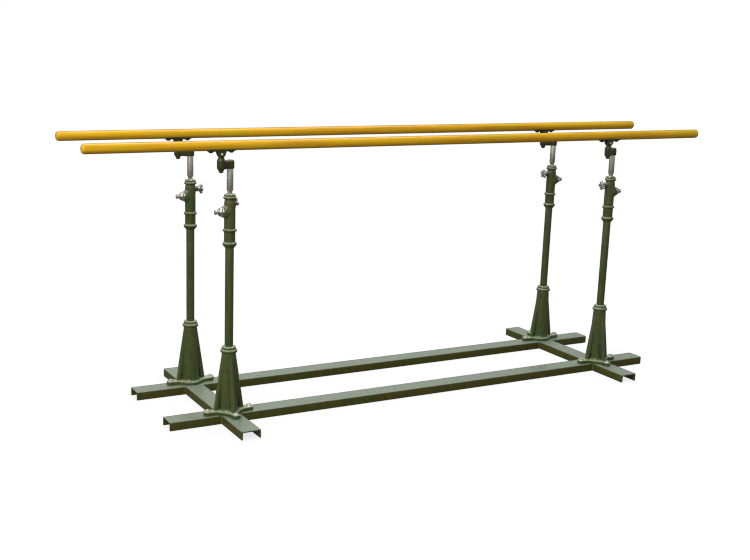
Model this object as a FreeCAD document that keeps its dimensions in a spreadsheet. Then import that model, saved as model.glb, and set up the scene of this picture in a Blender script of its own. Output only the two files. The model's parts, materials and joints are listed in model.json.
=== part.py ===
import FreeCAD, Part
import math
import operator
import os

import Sketcher
from FreeCAD import Placement, Rotation, Vector

# Parallel bars, in millimetres. +X runs along the rails, +Y from the front rail to the rear rail and +Z up.
# The origin is on the floor below the middle of the object. Two rails stand on four telescopic uprights.
# Each upright is a casting bolted to a frame of inverted channels, a fixed tube, a sleeve with an index
# plunger and a clamp knob, and a grooved post that slides. A crank arm swings on each post and carries a
# swivelling rail head, so that the rails can be raised, tilted by one step, and set wider or narrower.

DIMENSIONS = {
    # Base frame
    "base_offset": 39.5,
    "channel_width": 94,
    "channel_height": 40,
    "channel_wall": 5,
    "long_channel_length": 2844,
    "long_channel_spacing": 482,
    "cross_channel_length": 1057,
    "cross_channel_spacing": 2236,
    "weld_leg": 5,
    # Uprights and their castings
    "upright_spacing_along": 2236,
    "upright_spacing_across": 509,
    "casting_top_height": 341,
    "casting_top_radius": 33.5,
    "casting_foot_radius": 52,
    "casting_wall": 10,
    "casting_hollow_top_radius": 29,
    "flange_radius": 60,
    "flange_thickness": 12,
    "ring_radius": 39,
    "ring_height": 13,
    "neck_radius": 31,
    "neck_height": 15,
    "rib_radius": 13,
    "rib_head_radius": 11,
    "rib_reach": 77,
    "lug_radius": 18,
    "lug_thickness": 19,
    "lug_reach_along": 106,
    "lug_reach_across": 92,
    "tube_seat_height": 250,
    "tube_seat_lip": 3,
    # Base bolts
    "bolt_radius": 6,
    "bolt_hole_radius": 6.5,
    "bolt_head_radius": 11,
    "bolt_head_height": 8,
    "nut_height": 10,
    # Fixed tube and sleeve
    "tube_radius": 19,
    "tube_bore_radius": 15,
    "sleeve_bottom_height": 840,
    "sleeve_socket_depth": 40,
    "sleeve_radius": 25,
    "cup_radius": 32,
    "cup_height": 24,
    "bead_radius": 31,
    "bead_height": 11,
    "bead_centre_height": 920,
    "collar_radius": 29.5,
    "collar_centre_height": 1072,
    "collar_height": 11,
    "sleeve_top_radius": 25,
    "sleeve_top_height": 1086,
    "bush_radius": 17,
    "bush_length": 28,
    # Index plunger
    "index_height": 1005,
    "index_pitch": 45,
    "index_pin_radius": 6,
    "index_pin_clearance": 0.6,
    "index_boss_radius": 24,
    "index_boss_root_radius": 29,
    "index_boss_reach": 37,
    "bell_radius": 20,
    "bell_end_radius": 8,
    "bell_length": 24.5,
    "bell_bore_radius": 9,
    "bell_bore_depth": 23,
    "plunger_rod_radius": 4,
    "plunger_collar_radius": 8.6,
    "plunger_collar_start": 42,
    "plunger_collar_length": 3,
    "pull_knob_radius": 10,
    "pull_knob_thickness": 6.5,
    "plunger_tip_reach": 73,
    "spring_wire_radius": 0.8,
    "spring_mean_radius": 7,
    "spring_turns": 5,
    "spring_end_gap": 1,
    # Clamp knob
    "clamp_height": 1040,
    "clamp_screw_radius": 6,
    "clamp_boss_radius": 12,
    "clamp_boss_reach": 38,
    "clamp_hub_radius": 8.5,
    "clamp_star_radius": 17,
    "clamp_lobe_radius": 7.5,
    "clamp_star_start": 50,
    "clamp_star_thickness": 11,
    "clamp_hub_start": 41,
    # Posts
    "post_radius": 14,
    "post_bottom_height": 400,
    "bottom_groove_height": 510,
    "post_shoulder_height": 1203,
    "groove_radius": 9.75,
    "groove_width": 15,
    "groove_chamfer": 2,
    "top_groove_height": 1095,
    "spigot_radius": 11,
    "spigot_length": 34,
    "spigot_end_play": 0.5,
    # Crank arms
    "crank_reach_along": 54.4,
    "crank_reach_across": 25.4,
    "crank_head_radius": 18.5,
    "crank_head_height": 42,
    "crank_barrel_radius": 18,
    "crank_barrel_bottom": 1199,
    "crank_barrel_height": 53,
    "crank_web_width": 24,
    "crank_edge_radius": 7,
    "barrel_shoulder_radius": 14,
    "barrel_shoulder_height": 8,
    "barrel_toe_radius": 11.5,
    "barrel_toe_height": 9,
    # Rail heads
    "stem_radius": 10,
    "stem_collar_radius": 14,
    "stem_collar_height": 5,
    "stem_thread_radius": 5,
    "stem_bottom_height": 1188,
    "swivel_nut_radius": 9.8,
    "swivel_nut_height": 8,
    "swivel_washer_radius": 10.8,
    "swivel_washer_height": 2,
    "tongue_width": 22,
    "tongue_thickness": 12,
    "pivot_height": 1272,
    "pivot_pin_radius": 5,
    "pivot_pin_length": 31,
    "pivot_pin_head_radius": 6,
    "pivot_pin_head_height": 2,
    "pivot_slot_play": 0.9,
    "running_clearance": 0.05,
    # Rails
    "rail_length": 3500,
    "rail_stagger": 17.5,
    "rail_height": 44,
    "rail_width": 40,
    "rail_end_radius": 14,
    "rail_centre_height": 1311,
    "core_radius": 8,
    "core_length": 3300,
    # Rail saddles
    "saddle_length": 127,
    "saddle_thickness": 5,
    "saddle_wrap_height": 4,
    "saddle_boss_radius": 12,
    "saddle_boss_height": 10,
    "saddle_screw_spacing": 98,
    "saddle_screw_radius": 4,
    "saddle_screw_head_radius": 7.5,
    "saddle_screw_head_height": 5,
    "saddle_screw_length": 28,
    "cheek_top_width": 40,
    "cheek_bottom_width": 27,
    "cheek_bottom_height": 1260,
    "cheek_thickness": 7.5,
    "cheek_gap": 12.6,
}

# The front-left sleeve stands turned in its socket, so its clamp knob points less along the rail than the
# others do. The angle is from the rail's direction towards the rear.
CLAMP_KNOB_TURNS = {"front_left": 47, "front_right": 0, "rear_left": 0, "rear_right": 0}

CLAMP_KNOB_LOBES = 5

CORNERS = {
    "front_left": (-1, -1),
    "front_right": (1, -1),
    "rear_left": (-1, 1),
    "rear_right": (1, 1),
}
ROWS = {"front": -1, "rear": 1}
SIDES = {"left": -1, "right": 1}

RIGHT = Vector(1, 0, 0)
LEFT = Vector(-1, 0, 0)
BACK = Vector(0, 1, 0)
UP = Vector(0, 0, 1)

doc = FreeCAD.newDocument("ParallelBars")
sheet = doc.addObject("Spreadsheet::Sheet", "Dimensions")
for row, (alias, number) in enumerate(DIMENSIONS.items(), start=1):
    sheet.set(f"A{row}", alias)
    sheet.set(f"B{row}", str(number))
    sheet.setAlias(f"B{row}", alias)
doc.recompute()

OPERATIONS = {"+": operator.add, "-": operator.sub, "*": operator.mul, "/": operator.truediv}


class Size:
    """A length that knows its value and the expression that works it out from the spreadsheet."""

    def __init__(self, value, text):
        self.value = value
        self.text = text

    def __add__(self, other):
        return combine(self, "+", other)

    def __radd__(self, other):
        return combine(other, "+", self)

    def __sub__(self, other):
        return combine(self, "-", other)

    def __rsub__(self, other):
        return combine(other, "-", self)

    def __mul__(self, other):
        return combine(self, "*", other)

    def __rmul__(self, other):
        return combine(other, "*", self)

    def __truediv__(self, other):
        return combine(self, "/", other)

    def __neg__(self):
        return combine(0, "-", self)


def as_size(number):
    """A plain number as a Size; a Size stays as it is."""
    return number if isinstance(number, Size) else Size(float(number), f"({float(number)})")


def combine(left, sign, right):
    left, right = as_size(left), as_size(right)
    return Size(OPERATIONS[sign](left.value, right.value), f"({left.text} {sign} {right.text})")


def hypotenuse(one, other):
    return Size(math.hypot(one.value, other.value), f"sqrt({one.text} ^ 2 + {other.text} ^ 2)")


class Dimensions:
    """The spreadsheet's cells as attributes, each a Size."""

    def __getattr__(self, alias):
        return Size(float(sheet.get(alias)), f"Dimensions.{alias}")


dim = Dimensions()


def bind(piece, prop, size):
    """Tie a property of a document object to the spreadsheet."""
    piece.setExpression(prop, as_size(size).text)


def seat(piece, at=(0, 0, 0), rotation=Rotation()):
    """Place a piece, with its position tied to the spreadsheet."""
    piece.Placement = Placement(Vector(*(as_size(size).value for size in at)), rotation)
    for letter, size in zip("xyz", at):
        bind(piece, f"Placement.Base.{letter}", size)
    return piece


def turn(degrees):
    return Rotation(UP, degrees)


def aim(direction):
    """The rotation that lays a piece made along +Z along direction."""
    return Rotation(UP, direction)


# Primitives and booleans


def cylinder(radius, length, at=(0, 0, 0), along=UP):
    piece = doc.addObject("Part::Cylinder", "Cylinder")
    bind(piece, "Radius", radius)
    bind(piece, "Height", length)
    return seat(piece, at, aim(along))


def cone(bottom_radius, top_radius, length, at=(0, 0, 0), along=UP):
    piece = doc.addObject("Part::Cone", "Cone")
    bind(piece, "Radius1", bottom_radius)
    bind(piece, "Radius2", top_radius)
    bind(piece, "Height", length)
    return seat(piece, at, aim(along))


def hexagon(radius, height, at, along=UP):
    piece = doc.addObject("Part::Prism", "Hexagon")
    piece.Polygon = 6
    bind(piece, "Circumradius", radius)
    bind(piece, "Height", height)
    return seat(piece, at, aim(along))


def block(length, width, height, at):
    """A block whose lowest corner is at the given place."""
    piece = doc.addObject("Part::Box", "Block")
    bind(piece, "Length", length)
    bind(piece, "Width", width)
    bind(piece, "Height", height)
    return seat(piece, at)


def fuse(*pieces):
    piece = doc.addObject("Part::MultiFuse", "Fusion")
    piece.Shapes = list(pieces)
    return piece


def cut(base, *tools):
    piece = doc.addObject("Part::Cut", "Cut")
    piece.Base = base
    piece.Tool = tools[0] if len(tools) == 1 else fuse(*tools)
    return piece


def common(one, other):
    piece = doc.addObject("Part::Common", "Common")
    piece.Base = one
    piece.Tool = other
    return piece


def group(pieces):
    """Separate solids that share one node."""
    piece = doc.addObject("Part::Compound", "Group")
    piece.Links = list(pieces)
    return piece


# Sketches, pads and turned bodies


def sketch_on(body, role):
    """An empty sketch on one of the body's own origin planes."""
    plane = next(feature for feature in body.Origin.OriginFeatures if feature.Role == role)
    sketch = body.newObject("Sketcher::SketchObject", "Sketch")
    sketch.AttachmentSupport = [(plane, "")]
    sketch.MapMode = "FlatFace"
    return sketch


def constrain(sketch, kind, *arguments, size):
    """Add a constraint whose value is tied to the spreadsheet."""
    index = sketch.addConstraint(Sketcher.Constraint(kind, *arguments, size.value))
    sketch.setExpression(f"Constraints[{index}]", size.text)


def draw_outline(sketch, corners):
    """Close an outline of straight lines through corners, each fixed from the sketch's origin."""
    corners = [(as_size(across), as_size(up)) for across, up in corners]
    points = [Vector(across.value, up.value, 0) for across, up in corners]
    for start, end in zip(points, points[1:] + points[:1]):
        sketch.addGeometry(Part.LineSegment(start, end), False)
    for index, (across, up) in enumerate(corners):
        previous = (index - 1) % len(corners)
        sketch.addConstraint(Sketcher.Constraint("Coincident", previous, 2, index, 1))
        constrain(sketch, "DistanceX", -1, 1, index, 1, size=across)
        constrain(sketch, "DistanceY", -1, 1, index, 1, size=up)


def turned(profile, axis="V_Axis"):
    """A body turned from a profile in its XZ plane, about the plane's upright (V) or level (H) axis."""
    body = doc.addObject("PartDesign::Body", "Turned")
    sketch = sketch_on(body, "XZ_Plane")
    draw_outline(sketch, profile)
    feature = body.newObject("PartDesign::Revolution", "Revolution")
    feature.Profile = sketch
    feature.ReferenceAxis = (sketch, [axis])
    feature.Angle = 360
    return body


def padded(role, corners, length):
    """A body made from an outline, padded evenly to both sides of its plane."""
    body = doc.addObject("PartDesign::Body", "Padded")
    sketch = sketch_on(body, role)
    draw_outline(sketch, corners)
    add_pad(body, sketch, length)
    return body


def add_pad(body, sketch, length):
    pad = body.newObject("PartDesign::Pad", "Pad")
    pad.Profile = sketch
    pad.SideType = "Symmetric"
    bind(pad, "Length", length)
    return pad


def oval_bar(height, width, length):
    """A bar of elliptical section along X, with the section's long axis upright."""
    body = doc.addObject("PartDesign::Body", "OvalBar")
    sketch = sketch_on(body, "YZ_Plane")
    top = Vector(0, height.value / 2, 0)
    side = Vector(width.value / 2, 0, 0)
    oval = sketch.addGeometry(Part.Ellipse(top, side, Vector(0, 0, 0)))
    sketch.exposeInternalGeometry(oval)
    long_axis, short_axis = oval + 1, oval + 2
    sketch.addConstraint(Sketcher.Constraint("Coincident", oval, 3, -1, 1))
    sketch.addConstraint(Sketcher.Constraint("Vertical", long_axis))
    constrain(sketch, "Distance", long_axis, size=height)
    constrain(sketch, "Distance", short_axis, size=width)
    add_pad(body, sketch, length)
    return body


# Every finished piece, by its node name

pieces = {}


def finish(node, piece, at=(0, 0, 0), rotation=Rotation()):
    """Give a piece its node name and its place in the object."""
    piece.Label = node
    pieces[node] = seat(piece, at, rotation)
    return piece


def upright_x(side):
    return dim.base_offset + dim.upright_spacing_along * side / 2


def upright_y(row):
    return dim.upright_spacing_across * row / 2


def head_x(side):
    return upright_x(side) - dim.crank_reach_along


def rail_y(row):
    return upright_y(row) + dim.crank_reach_across * row


def rail_x(row):
    return dim.rail_stagger * row


# Base frame


def channel(length):
    """An inverted U channel along X, with its flanges' edges on the floor."""
    half = dim.channel_width / 2
    inner = half - dim.channel_wall
    ceiling = dim.channel_height - dim.channel_wall
    corners = [
        (-half, 0),
        (-half, dim.channel_height),
        (half, dim.channel_height),
        (half, 0),
        (inner, 0),
        (inner, ceiling),
        (-inner, ceiling),
        (-inner, 0),
    ]
    return padded("YZ_Plane", corners, length)


def bolt_places(row):
    """The two bolts of each casting in this row that go through the long channel."""
    for side in SIDES.values():
        for end in (-1, 1):
            yield upright_x(side) + dim.lug_reach_along * end, upright_y(row)


def outer_bolt_place(side, row):
    """The bolt of a casting that goes through the cross channel's outer stub."""
    return upright_x(side), upright_y(row) + dim.lug_reach_across * row


def bolt_hole(x, y):
    return cylinder(dim.bolt_hole_radius, dim.channel_height, (x, y, dim.channel_wall))


def stub_length():
    long_edge = (dim.long_channel_spacing + dim.channel_width) / 2
    return dim.cross_channel_length / 2 - long_edge


def make_base_frame():
    across = turn(90)
    for name, row in ROWS.items():
        y = dim.long_channel_spacing * row / 2
        bar = seat(channel(dim.long_channel_length), (dim.base_offset, y, 0))
        holes = [bolt_hole(x, y) for x, y in bolt_places(row)]
        finish(f"long_channel_{name}", cut(bar, *holes))
    for name, side in SIDES.items():
        bar = channel(dim.long_channel_spacing - dim.channel_width)
        place = (dim.base_offset + dim.cross_channel_spacing * side / 2, 0, 0)
        finish(f"cross_channel_{name}", bar, place, across)
    stubs = []
    for side, row in CORNERS.values():
        x = dim.base_offset + dim.cross_channel_spacing * side / 2
        y = (dim.cross_channel_length - stub_length()) * row / 2
        bar = seat(channel(stub_length()), (x, y, 0), across)
        stubs.append(cut(bar, bolt_hole(*outer_bolt_place(side, row))))
    finish("cross_stubs", group(stubs))
    finish("weld_beads", group(weld_beads()))


def weld_bead(x, y, degrees):
    """A fillet weld standing in the corner between two channels."""
    bead = doc.addObject("Part::Wedge", "WeldBead")
    for prop in ("Xmin", "Ymin", "Zmin", "X2min", "Z2min", "X2max"):
        setattr(bead, prop, 0)
    bind(bead, "Xmax", dim.weld_leg)
    bind(bead, "Ymax", dim.weld_leg)
    bind(bead, "Zmax", dim.channel_height - dim.channel_wall)
    bind(bead, "Z2max", dim.channel_height - dim.channel_wall)
    return seat(bead, (x, y, 0), turn(degrees))


def weld_beads():
    """Four beads at each crossing: one in each corner between the cross channel and the long one."""
    corner_turns = {(1, 1): 0, (-1, 1): 90, (-1, -1): 180, (1, -1): 270}
    beads = []
    for side, row in CORNERS.values():
        crossing_x = dim.base_offset + dim.cross_channel_spacing * side / 2
        crossing_y = dim.long_channel_spacing * row / 2
        for (right, back), degrees in corner_turns.items():
            x = crossing_x + dim.channel_width * right / 2
            y = crossing_y + dim.channel_width * back / 2
            beads.append(weld_bead(x, y, degrees))
    return beads


def make_base_fasteners():
    places = [place for row in ROWS.values() for place in bolt_places(row)]
    places += [outer_bolt_place(side, row) for side, row in CORNERS.values()]
    lug_top = dim.channel_height + dim.lug_thickness
    ceiling = dim.channel_height - dim.channel_wall
    nut_bottom = ceiling - dim.nut_height
    bolt_bottom = nut_bottom - dim.bolt_radius / 2
    bolts = []
    nuts = []
    for x, y in places:
        head = hexagon(dim.bolt_head_radius, dim.bolt_head_height, (x, y, lug_top))
        shank = cylinder(dim.bolt_radius, lug_top - bolt_bottom, (x, y, bolt_bottom))
        bolts.append(fuse(head, shank))
        nut = hexagon(dim.bolt_head_radius, dim.nut_height, (x, y, nut_bottom))
        nuts.append(cut(nut, cylinder(dim.bolt_radius, dim.nut_height, (x, y, nut_bottom))))
    finish("base_bolts", group(bolts))
    finish("base_nuts", group(nuts))


# Castings and fixed tubes


def casting_core():
    """The cone with its flange disc below and its double ring on top, still solid."""
    floor = dim.channel_height
    flange_top = floor + dim.flange_thickness
    ring_chamfer = dim.ring_radius - dim.casting_top_radius
    ring_top = dim.casting_top_height + dim.ring_height
    neck_top = ring_top + dim.neck_height
    neck_chamfer = dim.casting_wall / 4
    return turned([
        (0, floor),
        (dim.flange_radius, floor),
        (dim.flange_radius, flange_top),
        (dim.casting_foot_radius, flange_top + dim.casting_wall / 2),
        (dim.casting_top_radius, dim.casting_top_height - dim.casting_wall / 2),
        (dim.ring_radius, dim.casting_top_height + ring_chamfer / 4),
        (dim.ring_radius, ring_top - ring_chamfer / 2),
        (dim.ring_radius - ring_chamfer / 2, ring_top),
        (dim.neck_radius, ring_top + neck_chamfer),
        (dim.neck_radius, neck_top - neck_chamfer),
        (dim.neck_radius - neck_chamfer, neck_top),
        (0, neck_top),
    ])


def casting_rib(direction):
    """A rounded rib that leans from the flange's arm up to the cone's top."""
    foot = dim.rib_reach - dim.rib_radius
    head = dim.casting_top_radius - dim.rib_radius
    low = dim.channel_height + dim.flange_thickness / 2
    high = dim.casting_top_height - dim.casting_wall
    lean = Vector(head.value - foot.value, 0, high.value - low.value)
    length = hypotenuse(head - foot, high - low)
    rib = cone(dim.rib_radius, dim.rib_head_radius, length, (foot, 0, low), lean)
    return seat(group([rib]), (0, 0, 0), turn(direction))


def flange_arm(reach, direction):
    """The flange's arm and its raised lug, which takes one bolt."""
    floor = dim.channel_height
    width = dim.lug_radius * 2
    arm = block(reach, width, dim.flange_thickness, (0, -dim.lug_radius, floor))
    lug = cylinder(dim.lug_radius, dim.lug_thickness, (reach, 0, floor))
    return seat(group([fuse(arm, lug)]), (0, 0, 0), turn(direction))


def lug_hole(reach, direction):
    hole = cylinder(dim.bolt_hole_radius, dim.lug_thickness, (reach, 0, dim.channel_height))
    return seat(group([hole]), (0, 0, 0), turn(direction))


def base_casting():
    """A hollow casting whose outer lug points along -Y, and the other two along the rail."""
    arms = {180: dim.lug_reach_along, 270: dim.lug_reach_across, 0: dim.lug_reach_along}
    solid = [casting_core()]
    solid += [casting_rib(direction) for direction in arms]
    solid += [flange_arm(reach, direction) for direction, reach in arms.items()]
    hollow = cone(
        dim.casting_foot_radius - dim.casting_wall,
        dim.casting_hollow_top_radius,
        dim.tube_seat_height - dim.casting_wall * 2 - dim.channel_height,
        (0, 0, dim.channel_height),
    )
    lip_radius = dim.tube_radius - dim.tube_seat_lip
    shaft = cylinder(lip_radius, dim.tube_seat_height, (0, 0, dim.channel_height))
    socket = cylinder(dim.tube_radius, dim.tube_seat_height, (0, 0, dim.tube_seat_height))
    holes = [lug_hole(reach, direction) for direction, reach in arms.items()]
    return cut(fuse(*solid), hollow, shaft, socket, *holes)


def lower_tube():
    """The fixed tube between the casting's seat and the shoulder inside the sleeve."""
    top = dim.sleeve_bottom_height + dim.sleeve_socket_depth
    return turned([
        (dim.tube_bore_radius, dim.tube_seat_height),
        (dim.tube_radius, dim.tube_seat_height),
        (dim.tube_radius, top),
        (dim.tube_bore_radius, top),
    ])


# Sleeves


def sleeve_shell():
    """The sleeve's cup, bead, body and collar, bored for the tube, the bushes and the post."""
    bottom = dim.sleeve_bottom_height
    shoulder = bottom + dim.sleeve_socket_depth
    cup_top = bottom + dim.cup_height
    cup_edge = (dim.cup_radius - dim.sleeve_radius) / 2
    bead_half = dim.bead_height / 2
    collar_low = dim.collar_centre_height - dim.collar_height / 2
    collar_high = dim.collar_centre_height + dim.collar_height / 2
    collar_edge = dim.collar_radius - dim.sleeve_radius
    top = dim.sleeve_top_height
    top_edge = dim.sleeve_top_radius - dim.bush_radius
    return turned([
        (dim.tube_radius, bottom),
        (dim.tube_radius + cup_edge, bottom),
        (dim.cup_radius, cup_top - dim.cup_height / 3),
        (dim.cup_radius, cup_top - cup_edge),
        (dim.sleeve_radius, cup_top),
        (dim.sleeve_radius, dim.bead_centre_height - bead_half),
        (dim.bead_radius, dim.bead_centre_height - bead_half / 3),
        (dim.bead_radius, dim.bead_centre_height + bead_half / 3),
        (dim.sleeve_radius, dim.bead_centre_height + bead_half),
        (dim.sleeve_radius, collar_low - collar_edge / 2),
        (dim.collar_radius, collar_low),
        (dim.collar_radius, collar_high - collar_edge / 2),
        (dim.sleeve_top_radius, collar_high),
        (dim.sleeve_top_radius, top - top_edge / 4),
        (dim.sleeve_top_radius - top_edge / 2, top),
        (dim.bush_radius, top),
        (dim.bush_radius, top - dim.bush_length),
        (dim.tube_bore_radius, top - dim.bush_length),
        (dim.tube_bore_radius, shoulder + dim.bush_length),
        (dim.bush_radius, shoulder + dim.bush_length),
        (dim.bush_radius, shoulder),
        (dim.tube_radius, shoulder),
    ])


def sleeve(knob_turn):
    """A sleeve whose index plunger points along -X. The clamp knob points along +X, or turned from it."""
    boss_root = dim.sleeve_radius / 2
    index_boss = cone(
        dim.index_boss_root_radius,
        dim.index_boss_radius,
        dim.index_boss_reach - boss_root,
        (-boss_root, 0, dim.index_height),
        LEFT,
    )
    towards_knob = turn(knob_turn).multVec(RIGHT)
    clamp_boss = cylinder(
        dim.clamp_boss_radius, dim.clamp_boss_reach, (0, 0, dim.clamp_height), towards_knob
    )
    inside = cylinder(
        dim.tube_bore_radius,
        dim.sleeve_top_height - dim.sleeve_bottom_height - dim.bush_length * 2,
        (0, 0, dim.sleeve_bottom_height + dim.bush_length),
    )
    pin_bore = cylinder(
        dim.index_pin_radius + dim.running_clearance, dim.index_boss_reach, (0, 0, dim.index_height), LEFT
    )
    screw_bore = cylinder(
        dim.clamp_screw_radius + dim.running_clearance,
        dim.clamp_boss_reach,
        (0, 0, dim.clamp_height),
        towards_knob,
    )
    return cut(fuse(sleeve_shell(), index_boss, clamp_boss), inside, pin_bore, screw_bore)


def guide_bush(bottom):
    bore = dim.post_radius + dim.running_clearance
    return turned([
        (bore, bottom),
        (dim.bush_radius, bottom),
        (dim.bush_radius, bottom + dim.bush_length),
        (bore, bottom + dim.bush_length),
    ])


# Index plungers, built along +X from the upright's axis and turned to the side that they stand on


def index_housing():
    """The bell that holds the spring and guides the plunger's rod."""
    face = dim.index_boss_reach
    end = face + dim.bell_length
    bore = dim.plunger_rod_radius + dim.running_clearance
    rim = dim.bell_length / 6
    return turned(
        [
            (face, dim.bell_bore_radius),
            (face, dim.bell_radius),
            (face + rim, dim.bell_radius),
            (face + rim * 3, dim.bell_radius - rim),
            (face + rim * 5, dim.bell_end_radius + rim),
            (end, dim.bell_end_radius),
            (end, bore),
            (face + dim.bell_bore_depth, bore),
            (face + dim.bell_bore_depth, dim.bell_bore_radius),
        ],
        "H_Axis",
    )


def index_pin():
    """The plunger: its locking pin, the collar that the spring pushes, its rod and its pull knob."""
    tip = dim.post_radius + dim.index_pin_clearance
    edge = dim.index_pin_radius / 4
    collar_end = dim.plunger_collar_start + dim.plunger_collar_length
    knob_start = dim.plunger_tip_reach - dim.pull_knob_thickness
    knob_edge = dim.pull_knob_thickness / 5
    return turned(
        [
            (tip, 0),
            (tip, dim.index_pin_radius - edge),
            (tip + edge, dim.index_pin_radius),
            (dim.plunger_collar_start, dim.index_pin_radius),
            (dim.plunger_collar_start, dim.plunger_collar_radius),
            (collar_end, dim.plunger_collar_radius),
            (collar_end, dim.plunger_rod_radius),
            (knob_start, dim.plunger_rod_radius),
            (knob_start + knob_edge, dim.pull_knob_radius),
            (dim.plunger_tip_reach - knob_edge, dim.pull_knob_radius),
            (dim.plunger_tip_reach, dim.pull_knob_radius - knob_edge),
            (dim.plunger_tip_reach, 0),
        ],
        "H_Axis",
    )


def index_spring():
    """The coil between the plunger's collar and the end of the bell's bore."""
    room_start = dim.plunger_collar_start + dim.plunger_collar_length
    room_end = dim.index_boss_reach + dim.bell_bore_depth
    coil_length = room_end - room_start - dim.spring_end_gap * 2
    helix = doc.addObject("Part::Helix", "Helix")
    bind(helix, "Radius", dim.spring_mean_radius)
    bind(helix, "Height", coil_length)
    bind(helix, "Pitch", coil_length / dim.spring_turns)
    wire = doc.addObject("Part::Circle", "Wire")
    bind(wire, "Radius", dim.spring_wire_radius)
    seat(wire, (dim.spring_mean_radius, 0, 0), Rotation(RIGHT, 90))
    coil = doc.addObject("Part::Sweep", "Coil")
    coil.Sections = [wire]
    coil.Spine = helix
    coil.Solid = True
    coil.Frenet = True
    seat(coil, (room_start + dim.spring_end_gap, 0, 0), aim(RIGHT))
    return group([coil])


def clamp_knob():
    """The clamp screw with its hub and its five-lobed star, along +X from the upright's axis."""
    tip = dim.post_radius + dim.index_pin_clearance
    star_start = dim.clamp_star_start
    star_end = star_start + dim.clamp_star_thickness
    shaft = turned(
        [
            (tip, 0),
            (tip, dim.clamp_screw_radius),
            (dim.clamp_hub_start, dim.clamp_screw_radius),
            (dim.clamp_hub_start, dim.clamp_hub_radius),
            (star_end, dim.clamp_hub_radius),
            (star_end, 0),
        ],
        "H_Axis",
    )
    star = [shaft, cylinder(dim.clamp_star_radius, dim.clamp_star_thickness, (star_start, 0, 0), RIGHT)]
    for index in range(CLAMP_KNOB_LOBES):
        angle = math.radians(90 + 360 * index / CLAMP_KNOB_LOBES)
        y = dim.clamp_star_radius * math.cos(angle)
        z = dim.clamp_star_radius * math.sin(angle)
        star.append(cylinder(dim.clamp_lobe_radius, dim.clamp_star_thickness, (star_start, y, z), RIGHT))
    return fuse(*star)


# Posts, crank arms and rail heads


def post():
    """The sliding post: a groove at every index step, and a spigot on top for the crank arm."""
    profile = [(0, dim.post_bottom_height), (dim.post_radius, dim.post_bottom_height)]
    grooved_length = dim.top_groove_height - dim.bottom_groove_height
    steps = round((grooved_length / dim.index_pitch).value)
    half = dim.groove_width / 2
    slope = dim.groove_chamfer
    for step in range(steps, -1, -1):
        middle = dim.top_groove_height - dim.index_pitch * step
        profile += [
            (dim.post_radius, middle - half - slope),
            (dim.groove_radius, middle - half),
            (dim.groove_radius, middle + half),
            (dim.post_radius, middle + half + slope),
        ]
    spigot_top = dim.post_shoulder_height + dim.spigot_length
    profile += [
        (dim.post_radius, dim.post_shoulder_height),
        (dim.spigot_radius, dim.post_shoulder_height),
        (dim.spigot_radius, spigot_top),
        (0, spigot_top),
    ]
    return turned(profile)


def crank_arm():
    """A head over the post's spigot, and a barrel for the rail head's stem at the end of a web along -X."""
    reach = hypotenuse(dim.crank_reach_along, dim.crank_reach_across)
    low = dim.post_shoulder_height
    chamfer = dim.crank_edge_radius
    head_top = low + dim.crank_head_height
    head = turned([
        (0, low),
        (dim.crank_head_radius, low),
        (dim.crank_head_radius, head_top - chamfer),
        (dim.crank_head_radius - chamfer / 3, head_top - chamfer / 3),
        (dim.crank_head_radius - chamfer, head_top),
        (0, head_top),
    ])
    barrel_low = dim.crank_barrel_bottom
    barrel_top = barrel_low + dim.crank_barrel_height
    barrel = turned([
        (0, barrel_low),
        (dim.barrel_toe_radius, barrel_low),
        (dim.crank_barrel_radius, barrel_low + dim.barrel_toe_height),
        (dim.crank_barrel_radius, barrel_top - dim.barrel_shoulder_height),
        (dim.barrel_shoulder_radius, barrel_top),
        (0, barrel_top),
    ])
    seat(barrel, (-reach, 0, 0))
    web = block(
        reach,
        dim.crank_web_width,
        dim.crank_head_height - chamfer / 2,
        (-reach, -dim.crank_web_width / 2, low + chamfer / 4),
    )
    spigot_bore = cylinder(
        dim.spigot_radius + dim.running_clearance, dim.spigot_length + dim.spigot_end_play, (0, 0, low)
    )
    stem_bore = cylinder(
        dim.stem_radius + dim.running_clearance, dim.crank_barrel_height, (-reach, 0, barrel_low)
    )
    return cut(fuse(head, barrel, web), spigot_bore, stem_bore)


def stem():
    """The rail head's stem: threaded end, journal through the barrel, and the collar that rests on it."""
    journal_low = dim.crank_barrel_bottom
    journal_top = journal_low + dim.crank_barrel_height
    collar_top = journal_top + dim.stem_collar_height
    return turned([
        (0, dim.stem_bottom_height),
        (dim.stem_thread_radius, dim.stem_bottom_height),
        (dim.stem_thread_radius, journal_low),
        (dim.stem_radius, journal_low),
        (dim.stem_radius, journal_top),
        (dim.stem_collar_radius, journal_top),
        (dim.stem_collar_radius, collar_top),
        (0, collar_top),
    ])


def rail_head(play):
    """A stem with the tongue that the rail's pivot pin goes through. Play lengthens the hole into a slot."""
    collar_top = dim.crank_barrel_bottom + dim.crank_barrel_height + dim.stem_collar_height
    half_width = dim.tongue_width / 2
    half_thickness = dim.tongue_thickness / 2
    lower = block(
        dim.tongue_width,
        dim.tongue_thickness,
        dim.pivot_height - collar_top,
        (-half_width, -half_thickness, collar_top),
    )
    upper = cylinder(half_width, dim.tongue_thickness, (0, -half_thickness, dim.pivot_height), BACK)
    bore = dim.pivot_pin_radius + dim.running_clearance
    holes = []
    for offset in {-1, 1} if play else {0}:
        place = (dim.pivot_slot_play * offset, -half_thickness, dim.pivot_height)
        holes.append(cylinder(bore, dim.tongue_thickness, place, BACK))
    if play:
        corner = (-dim.pivot_slot_play, -half_thickness, dim.pivot_height - bore)
        holes.append(block(dim.pivot_slot_play * 2, dim.tongue_thickness, bore * 2, corner))
    return cut(fuse(stem(), lower, upper), *holes)


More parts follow.
